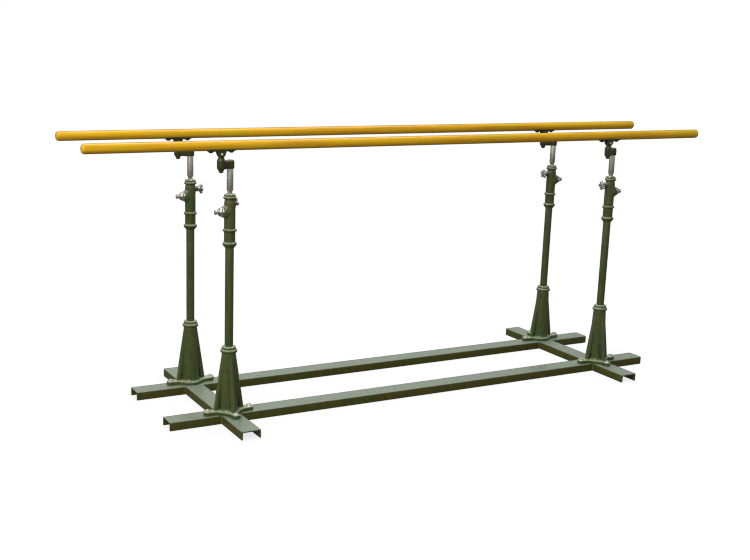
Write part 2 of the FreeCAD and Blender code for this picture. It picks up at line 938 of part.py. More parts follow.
def swivel_nut():
    """The nut and washer in one piece that hold the stem in the crank's barrel."""
    washer_bottom = dim.crank_barrel_bottom - dim.swivel_washer_height
    nut_bottom = washer_bottom - dim.swivel_nut_height
    washer = cylinder(dim.swivel_washer_radius, dim.swivel_washer_height, (0, 0, washer_bottom))
    nut = hexagon(dim.swivel_nut_radius, dim.swivel_nut_height, (0, 0, nut_bottom))
    bore_length = dim.swivel_nut_height + dim.swivel_washer_height
    return cut(fuse(washer, nut), cylinder(dim.stem_thread_radius, bore_length, (0, 0, nut_bottom)))


# Rails, their saddles and what holds them together


def rail_screw_places(row):
    for side in SIDES.values():
        for end in (-1, 1):
            yield head_x(side) + dim.saddle_screw_spacing * end / 2, rail_y(row)


def rail_screw_shanks(row):
    low = boss_bottom()
    return [
        cylinder(dim.saddle_screw_radius, dim.saddle_screw_length, (x, y, low))
        for x, y in rail_screw_places(row)
    ]


def boss_bottom():
    """The underside of the saddle's screw bosses."""
    rail_bottom = dim.rail_centre_height - dim.rail_height / 2
    return rail_bottom - dim.saddle_thickness


def rail_core(row):
    start = (rail_x(row) - dim.core_length / 2, rail_y(row), dim.rail_centre_height)
    return cylinder(dim.core_radius, dim.core_length, start, RIGHT)


def rounded_ends(bar):
    """Round both ends of an oval bar."""
    doc.recompute()
    straight = bar.Tip
    ends = [
        f"Edge{index}"
        for index, edge in enumerate(straight.Shape.Edges, start=1)
        if edge.BoundBox.XLength < straight.Shape.BoundBox.XLength / 2
    ]
    rounding = bar.newObject("PartDesign::Fillet", "EndRounding")
    rounding.Base = (straight, ends)
    bind(rounding, "Radius", dim.rail_end_radius)
    return bar


def rail(row):
    """An oval bar with round ends, bored for its steel core and the saddles' screws."""
    bar = rounded_ends(oval_bar(dim.rail_height, dim.rail_width, dim.rail_length))
    seat(bar, (rail_x(row), rail_y(row), dim.rail_centre_height))
    return cut(bar, rail_core(row), *rail_screw_shanks(row))


def saddle(side, row):
    """A strap that wraps the rail's underside, two screw bosses, and two cheeks for the pivot pin."""
    x, y = head_x(side), rail_y(row)
    centre = dim.rail_centre_height
    rail_bottom = centre - dim.rail_height / 2
    wrap = dim.saddle_thickness * 2
    outside = seat(
        oval_bar(dim.rail_height + wrap, dim.rail_width + wrap, dim.saddle_length), (x, y, centre)
    )
    keep = block(
        dim.saddle_length,
        dim.rail_width + wrap,
        dim.saddle_thickness + dim.saddle_wrap_height,
        (x - dim.saddle_length / 2, y - dim.rail_width / 2 - wrap / 2, rail_bottom - dim.saddle_thickness),
    )
    strap = common(outside, keep)
    solid = [strap]
    for end in (-1, 1):
        boss_x = x + dim.saddle_screw_spacing * end / 2
        solid.append(cylinder(dim.saddle_boss_radius, dim.saddle_boss_height, (boss_x, y, boss_bottom())))
    for face in (-1, 1):
        plate = padded("XZ_Plane", cheek_outline(), dim.cheek_thickness)
        plate_y = y + (dim.cheek_gap + dim.cheek_thickness) * face / 2
        solid.append(seat(plate, (x, plate_y, 0)))
    inside = seat(oval_bar(dim.rail_height, dim.rail_width, dim.saddle_length * 2), (x, y, centre))
    pin_start = (x, y - dim.rail_width / 2, dim.pivot_height)
    pin_hole = cylinder(dim.pivot_pin_radius, dim.rail_width, pin_start, BACK)
    holes = [
        cylinder(dim.saddle_screw_radius, dim.saddle_screw_length, (x + offset, y, boss_bottom()))
        for offset in (-dim.saddle_screw_spacing / 2, dim.saddle_screw_spacing / 2)
    ]
    return cut(fuse(*solid), inside, pin_hole, *holes)


def cheek_outline():
    """A cheek is wide under the rail and narrows down to the pivot."""
    top = dim.rail_centre_height - dim.rail_height / 2 + dim.saddle_thickness
    half_top = dim.cheek_top_width / 2
    half_bottom = dim.cheek_bottom_width / 2
    corner = dim.saddle_thickness
    bottom = dim.cheek_bottom_height
    return [
        (-half_top, top),
        (half_top, top),
        (half_top, top - dim.saddle_thickness * 2),
        (half_bottom, bottom + corner),
        (half_bottom - corner, bottom),
        (corner - half_bottom, bottom),
        (-half_bottom, bottom + corner),
        (-half_top, top - dim.saddle_thickness * 2),
    ]


def pivot_pin(side, row):
    """The pin through the cheeks and the tongue, with its head on the outer side."""
    outwards = BACK * row
    half = dim.pivot_pin_length * row / 2
    tail = (head_x(side), rail_y(row) - half, dim.pivot_height)
    head_seat = (head_x(side), rail_y(row) + half, dim.pivot_height)
    shank = cylinder(dim.pivot_pin_radius, dim.pivot_pin_length, tail, outwards)
    head = cylinder(dim.pivot_pin_head_radius, dim.pivot_pin_head_height, head_seat, outwards)
    return fuse(shank, head)


def saddle_screw(x, y):
    low = boss_bottom() - dim.saddle_screw_head_height
    head = hexagon(dim.saddle_screw_head_radius, dim.saddle_screw_head_height, (x, y, low))
    shank = cylinder(dim.saddle_screw_radius, dim.saddle_screw_length, (x, y, boss_bottom()))
    return fuse(head, shank)


# The whole object

make_base_frame()
make_base_fasteners()

bushes = []
housings = []
for name, (side, row) in CORNERS.items():
    x, y = upright_x(side), upright_y(row)
    outer_lug_turn = turn(0 if row < 0 else 180)
    plunger_turn = turn(0 if side < 0 else 180)
    outwards_turn = turn(180 if side < 0 else 0)
    knob_turn = turn(CLAMP_KNOB_TURNS[name]) * plunger_turn
    crank_angle = math.degrees(math.atan2(dim.crank_reach_across.value, dim.crank_reach_along.value))

    finish(f"base_casting_{name}", base_casting(), (x, y, 0), outer_lug_turn)
    finish(f"lower_tube_{name}", lower_tube(), (x, y, 0))
    finish(f"sleeve_{name}", sleeve(CLAMP_KNOB_TURNS[name]), (x, y, 0), plunger_turn)
    shoulder = dim.sleeve_bottom_height + dim.sleeve_socket_depth
    for bottom in (shoulder, dim.sleeve_top_height - dim.bush_length):
        bushes.append(seat(guide_bush(bottom), (x, y, 0)))
    housings.append(seat(index_housing(), (x, y, dim.index_height), outwards_turn))
    finish(f"index_pin_{name}", index_pin(), (x, y, dim.index_height), outwards_turn)
    finish(f"index_spring_{name}", index_spring(), (x, y, dim.index_height), outwards_turn)
    finish(f"clamp_knob_{name}", clamp_knob(), (x, y, dim.clamp_height), knob_turn)
    finish(f"post_{name}", post(), (x, y, 0))
    finish(f"crank_arm_{name}", crank_arm(), (x, y, 0), turn(-crank_angle * row))
    finish(f"rail_head_{name}", rail_head(play=side > 0), (head_x(side), rail_y(row), 0))
    finish(f"swivel_nut_{name}", swivel_nut(), (head_x(side), rail_y(row), 0))
finish("guide_bushes", group(bushes))
finish("index_housings", group(housings))

for name, row in ROWS.items():
    finish(f"rail_{name}", rail(row))
    finish(f"rail_core_{name}", cut(rail_core(row), *rail_screw_shanks(row)))
    finish(f"rail_saddles_{name}", group([saddle(side, row) for side in SIDES.values()]))
    finish(f"pivot_pins_{name}", group([pivot_pin(side, row) for side in SIDES.values()]))
    finish(f"saddle_screws_{name}", group([saddle_screw(x, y) for x, y in rail_screw_places(row)]))

doc.recompute()

# Check and write

failed = [item.Label for item in doc.Objects if {"Invalid", "Error"} & set(item.State)]
for node, piece in pieces.items():
    shape = piece.Shape
    if shape.isNull() or not shape.isValid() or not shape.Solids:
        failed.append(node)
if failed:
    raise RuntimeError(f"These objects failed: {failed}")

os.makedirs("parts", exist_ok=True)
for node, piece in pieces.items():
    piece.Shape.exportStep(f"parts/{node}.step")
    print(f"{node}: {len(piece.Shape.Solids)} solids, {piece.Shape.Volume / 1000:.1f} cm3")
print(f"{len(pieces)} nodes")
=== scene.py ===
import json
import math

import bmesh
import bpy
import numpy as np
from mathutils import Matrix, Vector


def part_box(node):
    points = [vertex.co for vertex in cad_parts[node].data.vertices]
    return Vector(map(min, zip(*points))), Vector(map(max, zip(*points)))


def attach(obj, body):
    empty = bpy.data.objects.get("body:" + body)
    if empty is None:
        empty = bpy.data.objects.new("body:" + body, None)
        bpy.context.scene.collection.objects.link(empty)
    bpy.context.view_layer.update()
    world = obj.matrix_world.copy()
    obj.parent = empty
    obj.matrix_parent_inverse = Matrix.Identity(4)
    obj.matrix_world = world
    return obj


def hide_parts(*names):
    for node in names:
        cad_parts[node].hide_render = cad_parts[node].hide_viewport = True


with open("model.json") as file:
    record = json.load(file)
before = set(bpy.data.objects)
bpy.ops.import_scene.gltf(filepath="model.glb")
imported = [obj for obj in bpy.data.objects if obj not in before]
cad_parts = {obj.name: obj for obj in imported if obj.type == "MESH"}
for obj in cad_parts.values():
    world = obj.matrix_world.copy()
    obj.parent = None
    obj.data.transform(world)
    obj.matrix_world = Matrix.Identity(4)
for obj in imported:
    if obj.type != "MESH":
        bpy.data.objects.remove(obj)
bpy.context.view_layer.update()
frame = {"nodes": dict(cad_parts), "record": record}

# Parallel bars, in the CAD model's frame: +X along the rails, +Y to the rear rail, +Z up.
# Objects are in metres. Profiles are written in millimetres, and MM brings them to metres.

MM = 0.001
UP = Vector((0, 0, 1))
AXIS = 0.01  # The radius at which a profile ends on its axis.
CORNERS = {
    "front_left": (-1, -1),
    "front_right": (1, -1),
    "rear_left": (-1, 1),
    "rear_right": (1, 1),
}
ROWS = {"front": -1, "rear": 1}
SIDES = {"left": -1, "right": 1}
JOINTS = {joint["name"]: joint for joint in frame["record"]["behaviour"]["joints"]}


# Places and sizes taken from the CAD model, in millimetres


def low(node):
    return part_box(node)[0] / MM


def high(node):
    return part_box(node)[1] / MM


def middle(node):
    return (low(node) + high(node)) / 2


def span(node):
    return high(node) - low(node)


def joint_place(name):
    return Vector(JOINTS[name]["pos_m"]) / MM


CHANNEL_HEIGHT = high("long_channel_front").z
CHANNEL_WIDTH = span("long_channel_front").y
RAIL_WIDTH, RAIL_HEIGHT = span("rail_front").yz
CRANK_OFFSET = (joint_place("swing_front_left") - joint_place("swivel_front_left")).xy


# Sizes that several pieces share, in millimetres

LUGS = ((0, 106), (180, 106), (270, 92))  # A front casting's lugs: direction in degrees, and reach.
LUG_HEIGHT = 19.5
BOLT_CORNERS = 11  # From a bolt's axis to the corners of its hexagon.
THREAD_PITCH = 1.5
STEP_PITCH = 45  # Between two grooves of a post.
SCREW_HOLE = 6.3  # The radius of a sleeve's holes.
PIVOT_HOLE = 5.05  # The radius of a pivot pin's hole.
TONGUE_THICKNESS = 12
TONGUE_HALF_WIDTH = 11
SADDLE_SCREW_REACH = 49  # From a saddle's pivot to each of its screws.

# How far each star knob is screwed round, in degrees.
KNOB_SPINS = {"front_left": 115, "front_right": 20, "rear_left": 54, "rear_right": 70}


# Mesh helpers


def soften(profile, steps=5):
    """Round a profile's corners. Each point is (radius, height) or (radius, height, rounding)."""
    corners = [(Vector(point[:2]), point[2] if len(point) > 2 else 0) for point in profile]
    smooth = []
    for index, (corner, rounding) in enumerate(corners):
        if not rounding:
            smooth.append(tuple(corner))
            continue
        before = corners[index - 1][0] - corner
        after = corners[(index + 1) % len(corners)][0] - corner
        start = corner + before.normalized() * min(rounding, before.length * 0.48)
        end = corner + after.normalized() * min(rounding, after.length * 0.48)
        for step in range(steps):
            share = step / (steps - 1)
            bend = start * (1 - share) ** 2 + corner * 2 * share * (1 - share) + end * share**2
            smooth.append(tuple(bend))
    return smooth


def ring_faces(count, steps, closed):
    """Faces between rings of points. Closed joins the last ring to the first, open caps both ends."""
    faces = []
    for row in range(count if closed else count - 1):
        here = row * steps
        there = (row + 1) % count * steps
        for step in range(steps):
            following = (step + 1) % steps
            faces.append((here + step, here + following, there + following, there + step))
    if not closed:
        faces.append(tuple(range(steps)))
        faces.append(tuple(range((count - 1) * steps, count * steps)))
    return faces


def surface(name, rings, closed=False, sharp_angle=35):
    """A mesh through rings of points in millimetres, smooth except along edges sharper than the angle."""
    rings = np.asarray(rings, float) * MM
    count, steps = rings.shape[:2]
    mesh = bpy.data.meshes.new(name)
    mesh.from_pydata(rings.reshape(-1, 3).tolist(), [], ring_faces(count, steps, closed))
    work = bmesh.new()
    work.from_mesh(mesh)
    bmesh.ops.remove_doubles(work, verts=work.verts, dist=1e-6)
    bmesh.ops.recalc_face_normals(work, faces=work.faces)
    work.to_mesh(mesh)
    work.free()
    mesh.shade_smooth()
    mesh.set_sharp_from_angle(angle=math.radians(sharp_angle))
    return mesh


def placed(mesh, at=(0, 0, 0), along=UP, turn=0):
    """Turn a mesh about its own Z, lay that axis along a direction, and move it to a place."""
    aim = UP.rotation_difference(Vector(along)).to_matrix().to_4x4()
    spin = Matrix.Rotation(math.radians(turn), 4, "Z")
    mesh.transform(Matrix.Translation(Vector(at) * MM) @ aim @ spin)
    return mesh


def level_ring(angles, radii, height):
    return np.column_stack([radii * np.cos(angles), radii * np.sin(angles), np.full(len(angles), height)])


def turned(name, profile, shape=None, steps=72, closed=False, sharp_angle=35):
    """Turn a profile about Z. Shape changes a ring's radius at each angle, as on a hexagon or a star."""
    angles = np.linspace(0, math.tau, steps, endpoint=False)
    rings = []
    for radius, height in profile:
        radii = np.full(steps, float(radius)) if shape is None else shape(angles, radius)
        rings.append(level_ring(angles, radii, height))
    return surface(name, rings, closed, sharp_angle)


def prism(name, outline, length, along="X"):
    """Extrude an outline of (across, up) points evenly to both sides of its plane."""
    rings = []
    for end in (-length / 2, length / 2):
        if along == "X":
            rings.append([(end, across, up) for across, up in outline])
        else:
            rings.append([(across, end, up) for across, up in outline])
    return surface(name, rings, sharp_angle=30)


def hexagon(corner_radius):
    """The shape of a hexagon: flats between trimmed corners. A wider ring stays round, as a washer."""
    flat = corner_radius * math.cos(math.pi / 6)

    def radii(angles, radius):
        if radius > corner_radius:
            return np.full(len(angles), float(radius))
        from_flat = (angles + math.pi / 6) % (math.pi / 3) - math.pi / 6
        return np.minimum(flat / np.cos(from_flat), radius)

    return radii


def knurled(radius_from, depth, teeth):
    """The shape of a knob whose widest part is cut with fine teeth."""

    def radii(angles, radius):
        cut = depth * (0.5 + 0.5 * np.cos(angles * teeth)) if radius >= radius_from else 0
        return radius - cut * np.ones(len(angles))

    return radii


def smooth_union(one, other, blend):
    """Join two distance fields with a fillet."""
    share = np.clip(0.5 + 0.5 * (other - one) / blend, 0, 1)
    return other * (1 - share) + one * share - blend * share * (1 - share)


def outline_radii(field, inside, outside, steps):
    """How far an outline lies from its middle at each angle, where the field of distances crosses zero."""
    angles = np.linspace(0, math.tau, steps, endpoint=False)
    near = np.full(steps, float(inside))
    far = np.full(steps, float(outside))
    for _ in range(30):
        half = (near + far) / 2
        within = field(half * np.cos(angles), half * np.sin(angles)) < 0
        near = np.where(within, half, near)
        far = np.where(within, far, half)
    return near


def thread(first_radius, second_radius, start, end):
    """A screw thread's profile: two radii in turn, up to its end."""
    points = []
    for height in np.arange(start, end, THREAD_PITCH):
        points += [(first_radius, height), (second_radius, height + THREAD_PITCH / 2)]
    return points


def joined(name, meshes):
    """One mesh from several separate ones."""
    work = bmesh.new()
    for mesh in meshes:
        work.from_mesh(mesh)
        bpy.data.meshes.remove(mesh)
    result = bpy.data.meshes.new(name)
    work.to_mesh(result)
    work.free()
    return result


def with_modifiers(mesh, *modifiers):
    """Apply modifiers, each a type and its settings, and give back the new mesh."""
    piece = bpy.data.objects.new("work", mesh)
    bpy.context.scene.collection.objects.link(piece)
    for kind, settings in modifiers:
        modifier = piece.modifiers.new(kind, kind)
        for key, value in settings.items():
            setattr(modifier, key, value)
    graph = bpy.context.evaluated_depsgraph_get()
    result = bpy.data.meshes.new_from_object(piece.evaluated_get(graph))
    bpy.data.objects.remove(piece)
    return result


def cast(name, meshes, voxel, smoothing):
    """Melt overlapping meshes into one casting, with fillets where they meet."""
    result = with_modifiers(
        joined(name, meshes),
        ("REMESH", {"mode": "VOXEL", "voxel_size": voxel * MM}),
        ("SMOOTH", {"iterations": smoothing, "factor": 0.5}),
        ("DECIMATE", {"ratio": 0.35}),
    )
    result.shade_smooth()
    return result


def bored(mesh, cutters):
    """Cut holes with other meshes."""
    for cutter_mesh in cutters:
        cutter = bpy.data.objects.new("cutter", cutter_mesh)
        bpy.context.scene.collection.objects.link(cutter)
        settings = {"operation": "DIFFERENCE", "object": cutter, "solver": "EXACT"}
        mesh = with_modifiers(mesh, ("BOOLEAN", settings))
        bpy.data.objects.remove(cutter)
    mesh.shade_smooth()
    mesh.set_sharp_from_angle(angle=math.radians(50))
    return mesh


def rod(radius, length, at=(0, 0, 0), along=UP, end_radius=None, rounding=0):
    """A bar or a cone with rounded rims, from a place along a direction."""
    tip = radius if end_radius is None else end_radius
    profile = soften([(AXIS, 0), (radius, 0, rounding), (tip, length, rounding), (AXIS, length)])
    return placed(turned("rod", profile, steps=48), at, along)


def block(corner, size, rounding):
    """A block with rounded edges, from its lowest corner."""
    work = bmesh.new()
    bmesh.ops.create_cube(work, size=1)
    centre = Vector(corner) + Vector(size) / 2
    stretch = Matrix.Translation(centre) @ Matrix.Diagonal((*size, 1))
    bmesh.ops.transform(work, matrix=stretch, verts=work.verts)
    bmesh.ops.bevel(work, geom=work.edges[:], offset=rounding, segments=3, profile=0.5, affect="EDGES")
    bmesh.ops.scale(work, vec=(MM, MM, MM), verts=work.verts)
    mesh = bpy.data.meshes.new("block")
    work.to_mesh(mesh)
    work.free()
    return mesh


def slot_of(node):
    subparts = frame["record"]["subparts"]
    return next(part["material_slot"] for part in subparts if part["node"] == node)


def body_of(node):
    bodies = frame["record"]["behaviour"]["bodies"]
    return next(name for name, nodes in bodies.items() if node in nodes)


def show(mesh, node):
    """Show a mesh in place of its CAD node, on the node's body and with the finish of its slot."""
    finish = slot_of(node)
    mesh.materials.clear()
    mesh.materials.append(MATERIALS[finish])
    piece = bpy.data.objects.new(f"{node}_surface", mesh)
    bpy.context.scene.collection.objects.link(piece)
    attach(piece, body_of(node))
    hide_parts(node)


# Materials


class Shader:
    """A material's node tree, with short calls for what the finishes share."""

    def __init__(self, name):
        self.material = bpy.data.materials.new(name)
        self.material.use_nodes = True
        self.tree = self.material.node_tree
        self.surface = self.tree.nodes["Principled BSDF"]
        self.place = self.node("ShaderNodeTexCoord").outputs["Object"]

    def node(self, kind, **settings):
        node = self.tree.nodes.new(kind)
        for key, value in settings.items():
            setattr(node, key, value)
        return node

    def link(self, source, target):
        self.tree.links.new(source, target)

    def stretched(self, x, y, z):
        """The object's coordinates, scaled by axis so that a pattern runs along the smallest."""
        mapping = self.node("ShaderNodeMapping")
        mapping.inputs["Scale"].default_value = (x, y, z)
        self.link(self.place, mapping.inputs["Vector"])
        return mapping.outputs["Vector"]

    def noise(self, scale, detail=3.0, roughness=0.5, place=None):
        noise = self.node("ShaderNodeTexNoise")
        noise.inputs["Scale"].default_value = scale
        noise.inputs["Detail"].default_value = detail
        noise.inputs["Roughness"].default_value = roughness
        self.link(place or self.place, noise.inputs["Vector"])
        return noise.outputs["Fac"]

    def between(self, fac, low_value, high_value, from_low=0.35, from_high=0.65):
        """Spread a pattern's values over a range."""
        spread = self.node("ShaderNodeMapRange")
        spread.inputs["From Min"].default_value = from_low
        spread.inputs["From Max"].default_value = from_high
        spread.inputs["To Min"].default_value = low_value
        spread.inputs["To Max"].default_value = high_value
        self.link(fac, spread.inputs["Value"])
        return spread.outputs["Result"]

    def mix(self, fac, one, other):
        """Mix two colours, each a triple or a node's output, by a pattern."""
        mix = self.node("ShaderNodeMix", data_type="RGBA")
        self.link(fac, mix.inputs["Factor"])
        sockets = [socket for socket in mix.inputs if socket.type == "RGBA"]
        for socket, colour in zip(sockets, (one, other)):
            if isinstance(colour, tuple):
                socket.default_value = (*colour, 1)
            else:
                self.link(colour, socket)
        return next(socket for socket in mix.outputs if socket.type == "RGBA")

    def bump(self, height, distance, strength=1.0, under=None):
        bump = self.node("ShaderNodeBump")
        bump.inputs["Strength"].default_value = strength
        bump.inputs["Distance"].default_value = distance * MM
        self.link(height, bump.inputs["Height"])
        if under:
            self.link(under, bump.inputs["Normal"])
        return bump.outputs["Normal"]

    def edges(self, radius):
        """A mask of the edges, from how far a rounded normal turns from the true one."""
        rounded = self.node("ShaderNodeBevel", samples=4)
        rounded.inputs["Radius"].default_value = radius * MM
        true_normal = self.node("ShaderNodeNewGeometry").outputs["Normal"]
        dot = self.node("ShaderNodeVectorMath", operation="DOT_PRODUCT")
        self.link(rounded.outputs["Normal"], dot.inputs[0])
        self.link(true_normal, dot.inputs[1])
        return self.between(dot.outputs["Value"], 1.0, 0.0, 0.93, 0.985)

    def facing_up(self):
        """A mask of the faces that look up, where dust settles and where the enamels paint a pale
        highlight of reflected sky.
        """
        parts = self.node("ShaderNodeSeparateXYZ")
        self.link(self.node("ShaderNodeNewGeometry").outputs["Normal"], parts.inputs["Vector"])
        return self.between(parts.outputs["Z"], 0, 1, 0.4, 0.95)

    def times(self, one, other):
        product = self.node("ShaderNodeMath", operation="MULTIPLY")
        self.link(one, product.inputs[0])
        if isinstance(other, float):
            product.inputs[1].default_value = other
        else:
            self.link(other, product.inputs[1])
        return product.outputs["Value"]

    def finish(self, colour, roughness, normal, **settings):
        for name, source in (("Base Color", colour), ("Roughness", roughness), ("Normal", normal)):
            self.link(source, self.surface.inputs[name])
        for name, value in settings.items():
            self.surface.inputs[name.replace("_", " ")].default_value = value
        return self.material


def enamel(name, colour, warm, chip, dust_and_sheen, dust_and_sheen_share, grain_scale):
    """Glossy enamel over steel: warm and cool patches, worn edges, and on what faces up dust together with
    a painted highlight, a pale sheen standing in for sky reflected off the tops.
    """
    shader = Shader(name)
    patches = shader.between(shader.noise(11, 5, 0.6), 0, 1, 0.4, 0.62)
    base = shader.mix(patches, colour, warm)
    streaks = shader.between(shader.noise(1, 4, 0.6, shader.stretched(70, 70, 9)), 0, 0.55, 0.47, 0.68)
    base = shader.mix(streaks, base, tuple(part * 0.5 for part in colour))
    mottle = shader.between(shader.noise(95, 4, 0.65), 0, 0.4, 0.48, 0.7)
    base = shader.mix(mottle, base, tuple(part * 1.7 for part in warm))
    breaks = shader.between(shader.noise(60, 5, 0.7), 0.25, 1, 0.42, 0.62)
    base = shader.mix(shader.times(shader.edges(1.6), breaks), base, chip)
    # Faces that look up are lightened: partly speckled dust, partly a painted highlight, a pale sheen of
    # reflected sky on tops, rims and lugs.
    speckle = shader.between(shader.noise(380, 3, 0.7), 0.35, 1, 0.42, 0.6)
    dust_and_sheen_mask = shader.times(shader.times(shader.facing_up(), speckle), dust_and_sheen_share)
    base = shader.mix(dust_and_sheen_mask, base, dust_and_sheen)
    roughness = shader.between(shader.noise(30, 5, 0.6), 0.2, 0.4)
    peel = shader.bump(shader.noise(170, 2), 0.1, 0.3)
    grain = shader.bump(shader.noise(grain_scale, 4, 0.6), 0.3, 0.35, peel)
    return shader.finish(base, roughness, grain, Specular_IOR_Level=0.4)


def steel(name, colour, tarnish, smoothest, roughest, marks_scale=(30, 30, 900)):
    """Ground or drawn steel with fine marks across it, and blotches of tarnish."""
    shader = Shader(name)
    marks = shader.noise(1, 2, place=shader.stretched(*marks_scale))
    blotches = shader.between(shader.noise(24, 5, 0.6), 0, 0.8, 0.4, 0.65)
    base = shader.mix(blotches, colour, tarnish)
    darker = shader.between(shader.noise(1, 3, 0.6, shader.stretched(90, 90, 9)), 0, 0.35, 0.5, 0.7)
    base = shader.mix(darker, base, tuple(part * 0.6 for part in tarnish))
    roughness = shader.between(marks, smoothest, roughest)
    normal = shader.bump(marks, 0.02, 0.5)
    return shader.finish(base, roughness, normal, Metallic=1.0)


def chrome(name):
    """Polished chrome plate with a few dull spots."""
    shader = Shader(name)
    spots = shader.between(shader.noise(150, 4, 0.65), 0, 1, 0.56, 0.7)
    base = shader.mix(spots, (0.56, 0.56, 0.55), (0.36, 0.33, 0.3))
    roughness = shader.between(shader.noise(60, 5), 0.08, 0.24)
    normal = shader.bump(shader.noise(240, 3), 0.03, 0.3)
    return shader.finish(base, roughness, normal, Metallic=1.0)


def varnished_wood(name):
    """Honey-coloured wood under clear varnish: long pale and dark grain along the rail."""
    shader = Shader(name)
    bands = shader.between(shader.noise(1, 3, 0.55, shader.stretched(1.6, 16, 16)), 0, 1, 0.38, 0.62)
    base = shader.mix(bands, (0.64, 0.385, 0.004), (0.61, 0.325, 0.006))
    olive = shader.between(shader.noise(1, 2, 0.5, shader.stretched(3.1, 22, 22)), 0, 0.7, 0.5, 0.68)
    base = shader.mix(olive, base, (0.52, 0.4, 0.004))
    long_grain = shader.noise(1, 6, 0.62, shader.stretched(2.4, 75, 75))
    base = shader.mix(shader.between(long_grain, 0, 0.6, 0.44, 0.68), base, (0.36, 0.13, 0.005))
    fine_grain = shader.noise(1, 3, 0.5, shader.stretched(16, 460, 460))
    base = shader.mix(shader.between(fine_grain, 0, 0.4, 0.5, 0.75), base, (0.74, 0.44, 0.05))
    roughness = shader.between(shader.noise(25, 4), 0.2, 0.34)
    normal = shader.bump(fine_grain, 0.05, 0.3)
    return shader.finish(base, roughness, normal, Specular_IOR_Level=0.3)


# Each enamel's dust colour also serves as a painted highlight: the pale, bluish sheen of sky reflected off
# faces that look up.
MATERIALS = {
    "frame_paint": enamel(
        "frame_paint",
        colour=(0.048, 0.06, 0.012),
        warm=(0.066, 0.058, 0.01),
        chip=(0.2, 0.22, 0.13),
        dust_and_sheen=(0.36, 0.46, 0.41),
        dust_and_sheen_share=0.65,
        grain_scale=240,
    ),
    "casting_paint": enamel(
        "casting_paint",
        colour=(0.038, 0.07, 0.023),
        warm=(0.066, 0.075, 0.02),
        chip=(0.28, 0.35, 0.23),
        dust_and_sheen=(0.5, 0.58, 0.38),
        dust_and_sheen_share=0.85,
        grain_scale=330,
    ),
    "crank_paint": enamel(
        "crank_paint",
        colour=(0.024, 0.028, 0.007),
        warm=(0.034, 0.032, 0.006),
        chip=(0.12, 0.12, 0.07),
        dust_and_sheen=(0.2, 0.24, 0.15),
        dust_and_sheen_share=0.4,
        grain_scale=300,
    ),
    "post_steel": steel("post_steel", (0.6, 0.6, 0.56), (0.42, 0.39, 0.3), 0.22, 0.42),
    "chrome": chrome("chrome"),
    "zinc_bolt": steel("zinc_bolt", (0.8, 0.81, 0.76), (0.6, 0.58, 0.48), 0.3, 0.5, (400, 400, 400)),
    "spring_steel": steel("spring_steel", (0.42, 0.42, 0.43), (0.3, 0.28, 0.26), 0.3, 0.45),
    "brass": steel("brass", (0.5, 0.42, 0.26), (0.36, 0.28, 0.15), 0.25, 0.4),
    "rail_varnish": varnished_wood("rail_varnish"),
}

# A CAD node that stays keeps its shape and takes the finish of its slot.
for part in frame["record"]["subparts"]:
    node = frame["nodes"][part["node"]]
    node.data.materials.clear()
    node.data.materials.append(MATERIALS[part["material_slot"]])


# Base frame


def rolled_channel(length):
    """An inverted U of rolled steel: rounded shoulders, fillets inside and thin toes."""
    half = CHANNEL_WIDTH / 2
    top = CHANNEL_HEIGHT
    wall = 5
    web_end = half - 14
    right = soften([
        (web_end, top),
        (half, top, 3.5),
        (half, 0, 1.2),
        (half - wall + 1, 0, 1),
        (half - wall, top - wall, 6),
        (web_end, top - wall),
    ])
    left = [(-across, up) for across, up in reversed(right)]
    mesh = prism("channel", right + left, length)
    bevel = {
        "width": 0.5 * MM,
        "segments": 2,
        "limit_method": "ANGLE",
        "angle_limit": math.radians(60),
    }
    return with_modifiers(mesh, ("BEVEL", bevel))


def crossing(side, row):
    """The long and the cross channel that meet at a corner."""
    long_channel = "long_channel_front" if row < 0 else "long_channel_rear"
    cross_channel = "cross_channel_left" if side < 0 else "cross_channel_right"
    return long_channel, cross_channel


def build_channels():
    for row in ROWS:
        node = f"long_channel_{row}"
        place = middle(node)
        show(placed(rolled_channel(span(node).x), (place.x, place.y, 0)), node)
    for side in SIDES:
        node = f"cross_channel_{side}"
        place = middle(node)
        show(placed(rolled_channel(span(node).y), (place.x, place.y, 0), turn=90), node)
    stubs = []
    for side, row in CORNERS.values():
        long_channel, cross_channel = crossing(side, row)
        inner = low(long_channel).y if row < 0 else high(long_channel).y
        outer = low("cross_stubs").y if row < 0 else high("cross_stubs").y
        stub = rolled_channel(abs(outer - inner))
        stubs.append(placed(stub, (middle(cross_channel).x, (inner + outer) / 2, 0), turn=90))
    show(joined("stubs", stubs), "cross_stubs")


def weld_bead(x, y, degrees):
    """A fillet weld that stands in a corner, with the ripples of its passes."""
    leg = 4.5
    ripples = 45
    rings = []
    for step in range(ripples):
        height = 1 + step * (CHANNEL_HEIGHT - 6) / (ripples - 1)
        ripple = 0.45 * math.sin(step * 1.9) + 0.25 * math.sin(step * 0.7 + x)
        taper = min(1, (step + 1) / 4, (ripples - step) / 4)
        ring = [(-2, -2, height)]
        for angle in np.linspace(0, math.pi / 2, 7):
            reach = (leg + ripple) * (0.86 + 0.14 * math.cos(angle * 4)) * taper
            ring.append((reach * math.cos(angle), reach * math.sin(angle), height))
        rings.append(ring)
    return placed(surface("bead", rings, sharp_angle=70), (x, y, 0), turn=degrees)


def build_welds():
    """Four beads at each crossing, one in every corner between two channels."""
    half = CHANNEL_WIDTH / 2
    beads = []
    for side, row in CORNERS.values():
        long_channel, cross_channel = crossing(side, row)
        x, y = middle(cross_channel).x, middle(long_channel).y
        for degrees, right, back in ((0, 1, 1), (90, -1, 1), (180, -1, -1), (270, 1, -1)):
            beads.append(weld_bead(x + half * right, y + half * back, degrees))
    show(joined("welds", beads), "weld_beads")


# Castings and tubes


